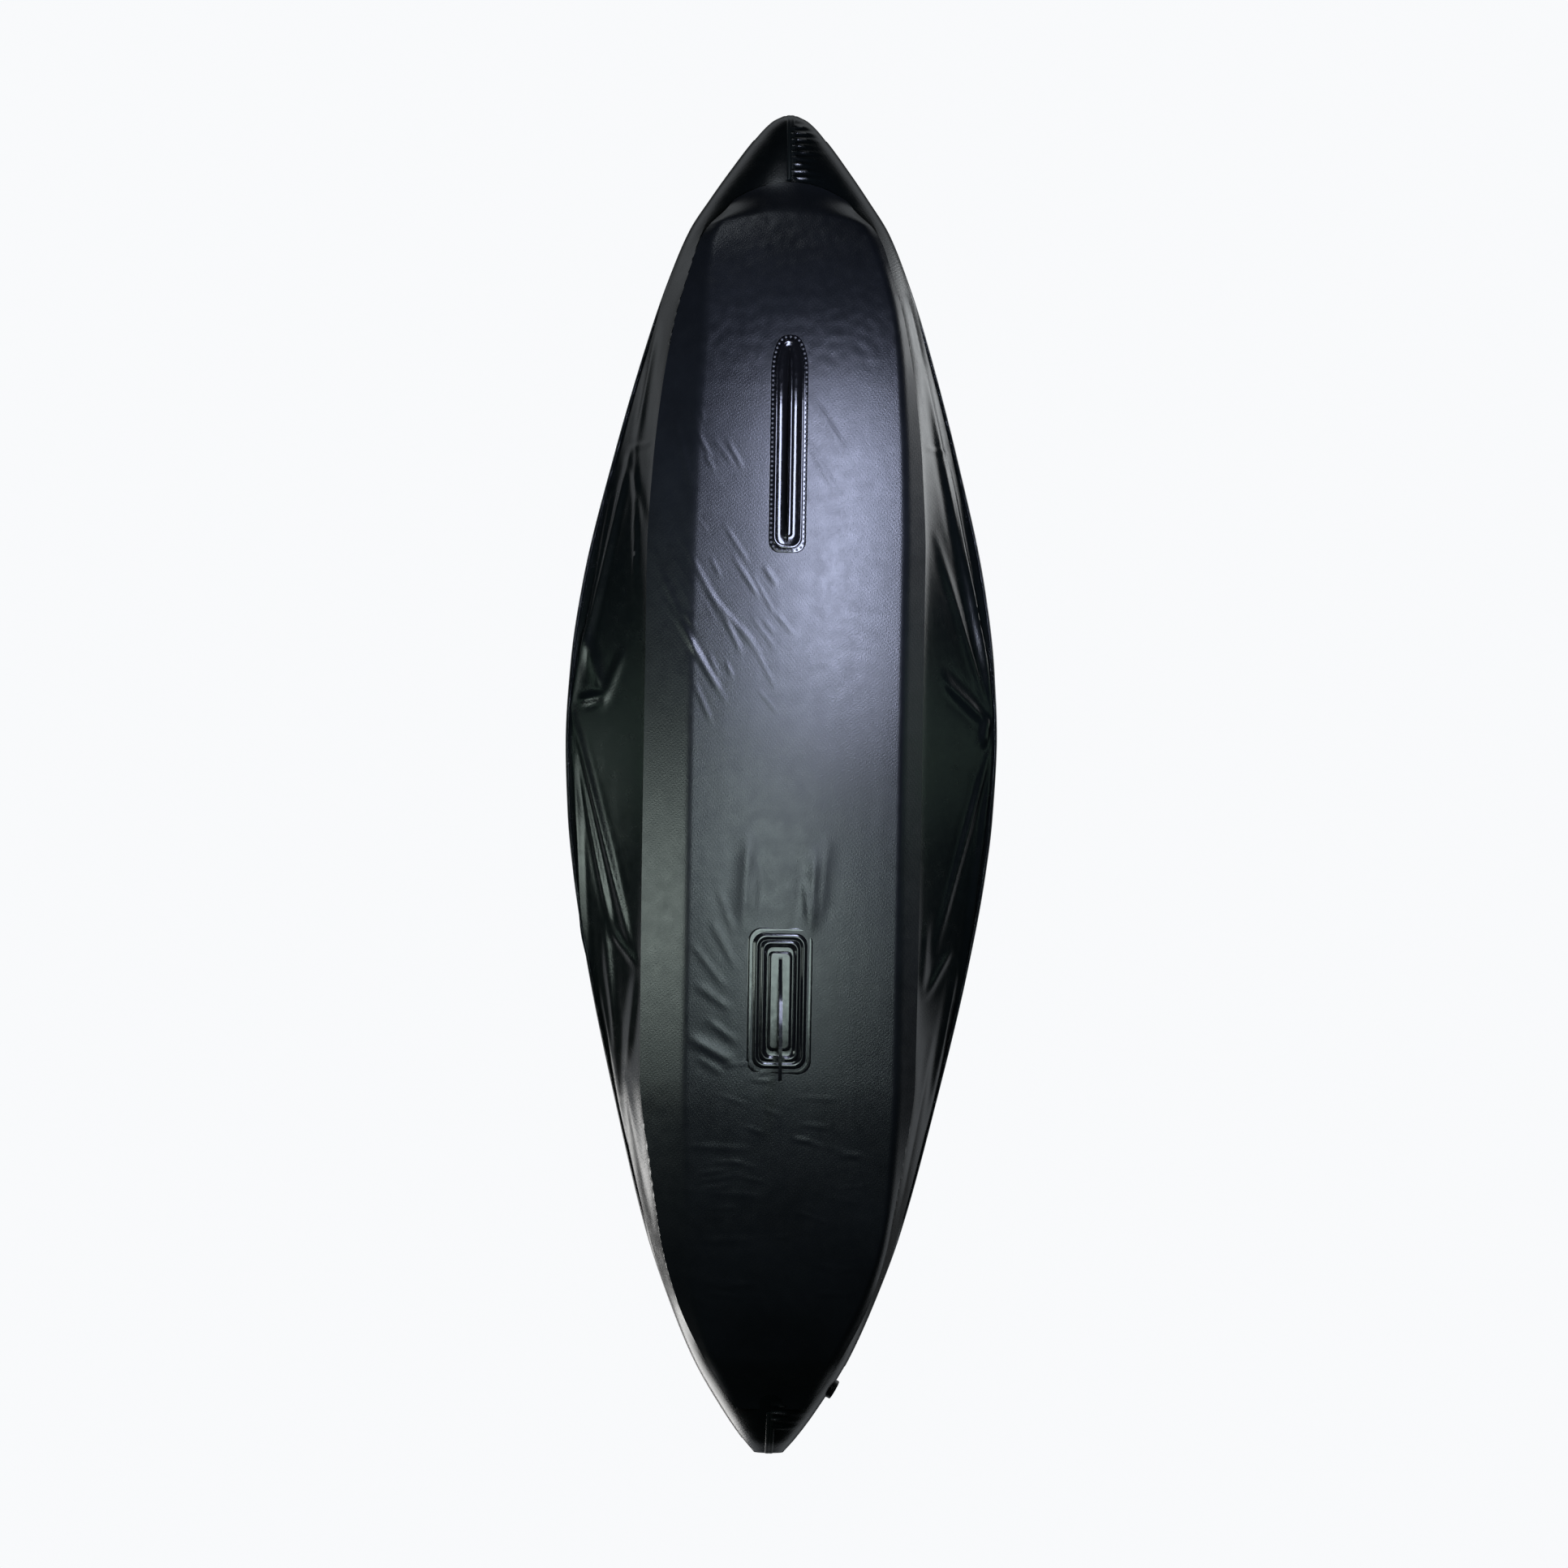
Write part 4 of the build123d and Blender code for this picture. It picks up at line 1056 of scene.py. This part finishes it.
# Stage, light and camera
stage = {"half": 160.0, "pale": 0.86}
bm = bmesh.new()
bmesh.ops.create_grid(bm, x_segments=1, y_segments=1, size=stage["half"])
mesh = bpy.data.meshes.new("floor")
bm.to_mesh(mesh)
bm.free()
ground = bpy.data.objects.new("ground", mesh)
scene.collection.objects.link(ground)
groundMat, tree, shader = newMaterial("pale floor", (stage["pale"],) * 3, 0.9)
shader.inputs["Specular IOR Level"].default_value = 0.1
clear = addNode(tree, "ShaderNodeBsdfTransparent")
geo = addNode(tree, "ShaderNodeNewGeometry")
ray = addNode(tree, "ShaderNodeLightPath")
seen = addNode(tree, "ShaderNodeMath", operation="SUBTRACT", use_clamp=True)  # solid only from above
tree.links.new(ray.outputs["Is Camera Ray"], seen.inputs[0])
tree.links.new(geo.outputs["Backfacing"], seen.inputs[1])
mix = addNode(tree, "ShaderNodeMixShader")
tree.links.new(seen.outputs["Value"], mix.inputs["Fac"])
tree.links.new(clear.outputs[0], mix.inputs[1])
tree.links.new(shader.outputs[0], mix.inputs[2])
tree.links.new(mix.outputs[0], tree.nodes["Material Output"].inputs["Surface"])
ground.data.materials.append(groundMat)

world = bpy.data.worlds.new("studio")
scene.world = world
world.use_nodes = True
tree = world.node_tree
back1 = tree.nodes["Background"]
back1.inputs["Color"].default_value = (0.945, 0.955, 0.97, 1)
back1.inputs["Strength"].default_value = 1.0
back2 = addNode(tree, "ShaderNodeBackground")  # studio dome: pale band all round, dark over and under
back2.inputs["Strength"].default_value = 1.0
heading = addNode(tree, "ShaderNodeTexCoord")
split = addNode(tree, "ShaderNodeSeparateXYZ")
dome = addNode(tree, "ShaderNodeValToRGB")
dome.color_ramp.elements[0].position = 0.27
dome.color_ramp.elements[1].position = 0.9
for at in (0.44, 0.66):
    dome.color_ramp.elements.new(at).color = (0.46, 0.49, 0.52, 1)
dome.color_ramp.elements[0].color = (0.005, 0.008, 0.007, 1)
dome.color_ramp.elements[3].color = (0.02, 0.02, 0.02, 1)
tree.links.new(heading.outputs["Generated"], split.inputs["Vector"])
tree.links.new(split.outputs["Z"], dome.inputs["Fac"])
tree.links.new(dome.outputs["Color"], back2.inputs["Color"])
ray = addNode(tree, "ShaderNodeLightPath")
mix = addNode(tree, "ShaderNodeMixShader")
tree.links.new(ray.outputs["Is Camera Ray"], mix.inputs["Fac"])
tree.links.new(back2.outputs[0], mix.inputs[1])
tree.links.new(back1.outputs[0], mix.inputs[2])
tree.links.new(mix.outputs[0], tree.nodes["World Output"].inputs["Surface"])
scene.view_settings.view_transform = "Standard"

lights = {
    # name: place, aim, size x, size y, watts, colour
    "underKey": ((-0.17, 0.64, -1.0), (-0.1, 0.64, 0.12), 0.86, 0.22, 20, (0.66, 0.72, 1.0)),
    "underFill": ((-0.02, 0.02, -2.1), (0.0, 0.02, 0.12), 0.75, 0.5, 4.3, (0.8, 0.88, 1.0)),
    "aftFill": ((0.02, -0.25, -1.5), (0.0, -0.24, 0.12), 0.7, 0.28, 4.6, (0.8, 1.0, 0.95)),
    "bilge": ((1.6, -0.32, -0.92), (0.26, -0.25, 0.15), 0.4, 1.1, 9.5, (0.84, 1.0, 0.92)),
    "nose": ((0.5, 3.1, -1.3), (0.0, 1.3, 0.2), 0.5, 0.3, 3, (0.84, 0.92, 1.0)),
    "starboardStrip": ((2.6, 0.1, -0.1), (0.44, 0.05, 0.25), 0.1, 2.6, 1.2, (0.66, 1.0, 0.8)),
    "portStrip": ((-2.6, 0.1, -0.1), (-0.44, 0.05, 0.25), 0.1, 2.6, 1.2, (0.66, 1.0, 0.8)),
    "topKey": ((2.7, -2.6, 2.7), (0, 0, 0.3), 2.6, 2.6, 80, (1.0, 0.99, 0.97)),
    "topFill": ((-3.4, 1.4, 2.3), (0, 0, 0.3), 2.4, 2.4, 40, (0.95, 0.98, 1.0)),
}
for name, (place, aim, sx, sy, watts, color) in lights.items():
    data = bpy.data.lights.new(name, "AREA")
    data.shape = "RECTANGLE"
    data.size = sx
    data.size_y = sy
    data.energy = watts
    data.color = color
    lamp = bpy.data.objects.new(name, data)
    lamp.location = place
    lamp.rotation_euler = (Vector(aim) - Vector(place)).to_track_quat("-Z", "Y").to_euler()
    lamp.visible_camera = False
    scene.collection.objects.link(lamp)
sunData = bpy.data.lights.new("sky", "SUN")
sunData.energy = 2.5
sunData.angle = math.radians(40)
sun = bpy.data.objects.new("sky", sunData)
sun.rotation_euler = (math.radians(22), math.radians(-18), 0)
sun.visible_glossy = False
scene.collection.objects.link(sun)

view = {"lens": 150.0, "rollDeg": 1.75, "tiltDeg": 0.96, "metresAcross": 3.4776,
        "target": (-0.005, 0.0, 0.23)}
camData = bpy.data.cameras.new("camera")
camera = bpy.data.objects.new("camera", camData)
scene.collection.objects.link(camera)
camData.lens = view["lens"]
camData.sensor_width = 36.0
distance = view["metresAcross"] / 2 / (18.0 / view["lens"])
roll = math.radians(view["rollDeg"])
backward = Vector((math.sin(roll), 0, -math.cos(roll)))
camera.location = Vector(view["target"]) + backward * distance
tilt = math.radians(view["tiltDeg"])
upward = Vector((math.sin(tilt), math.cos(tilt), 0))
zAxis = backward
xAxis = upward.cross(zAxis).normalized()
yAxis = zAxis.cross(xAxis).normalized()
camera.rotation_euler = Matrix((xAxis, yAxis, zAxis)).transposed().to_euler()
camData.clip_end = 400
scene.camera = camera
print("stage, lights and camera set")
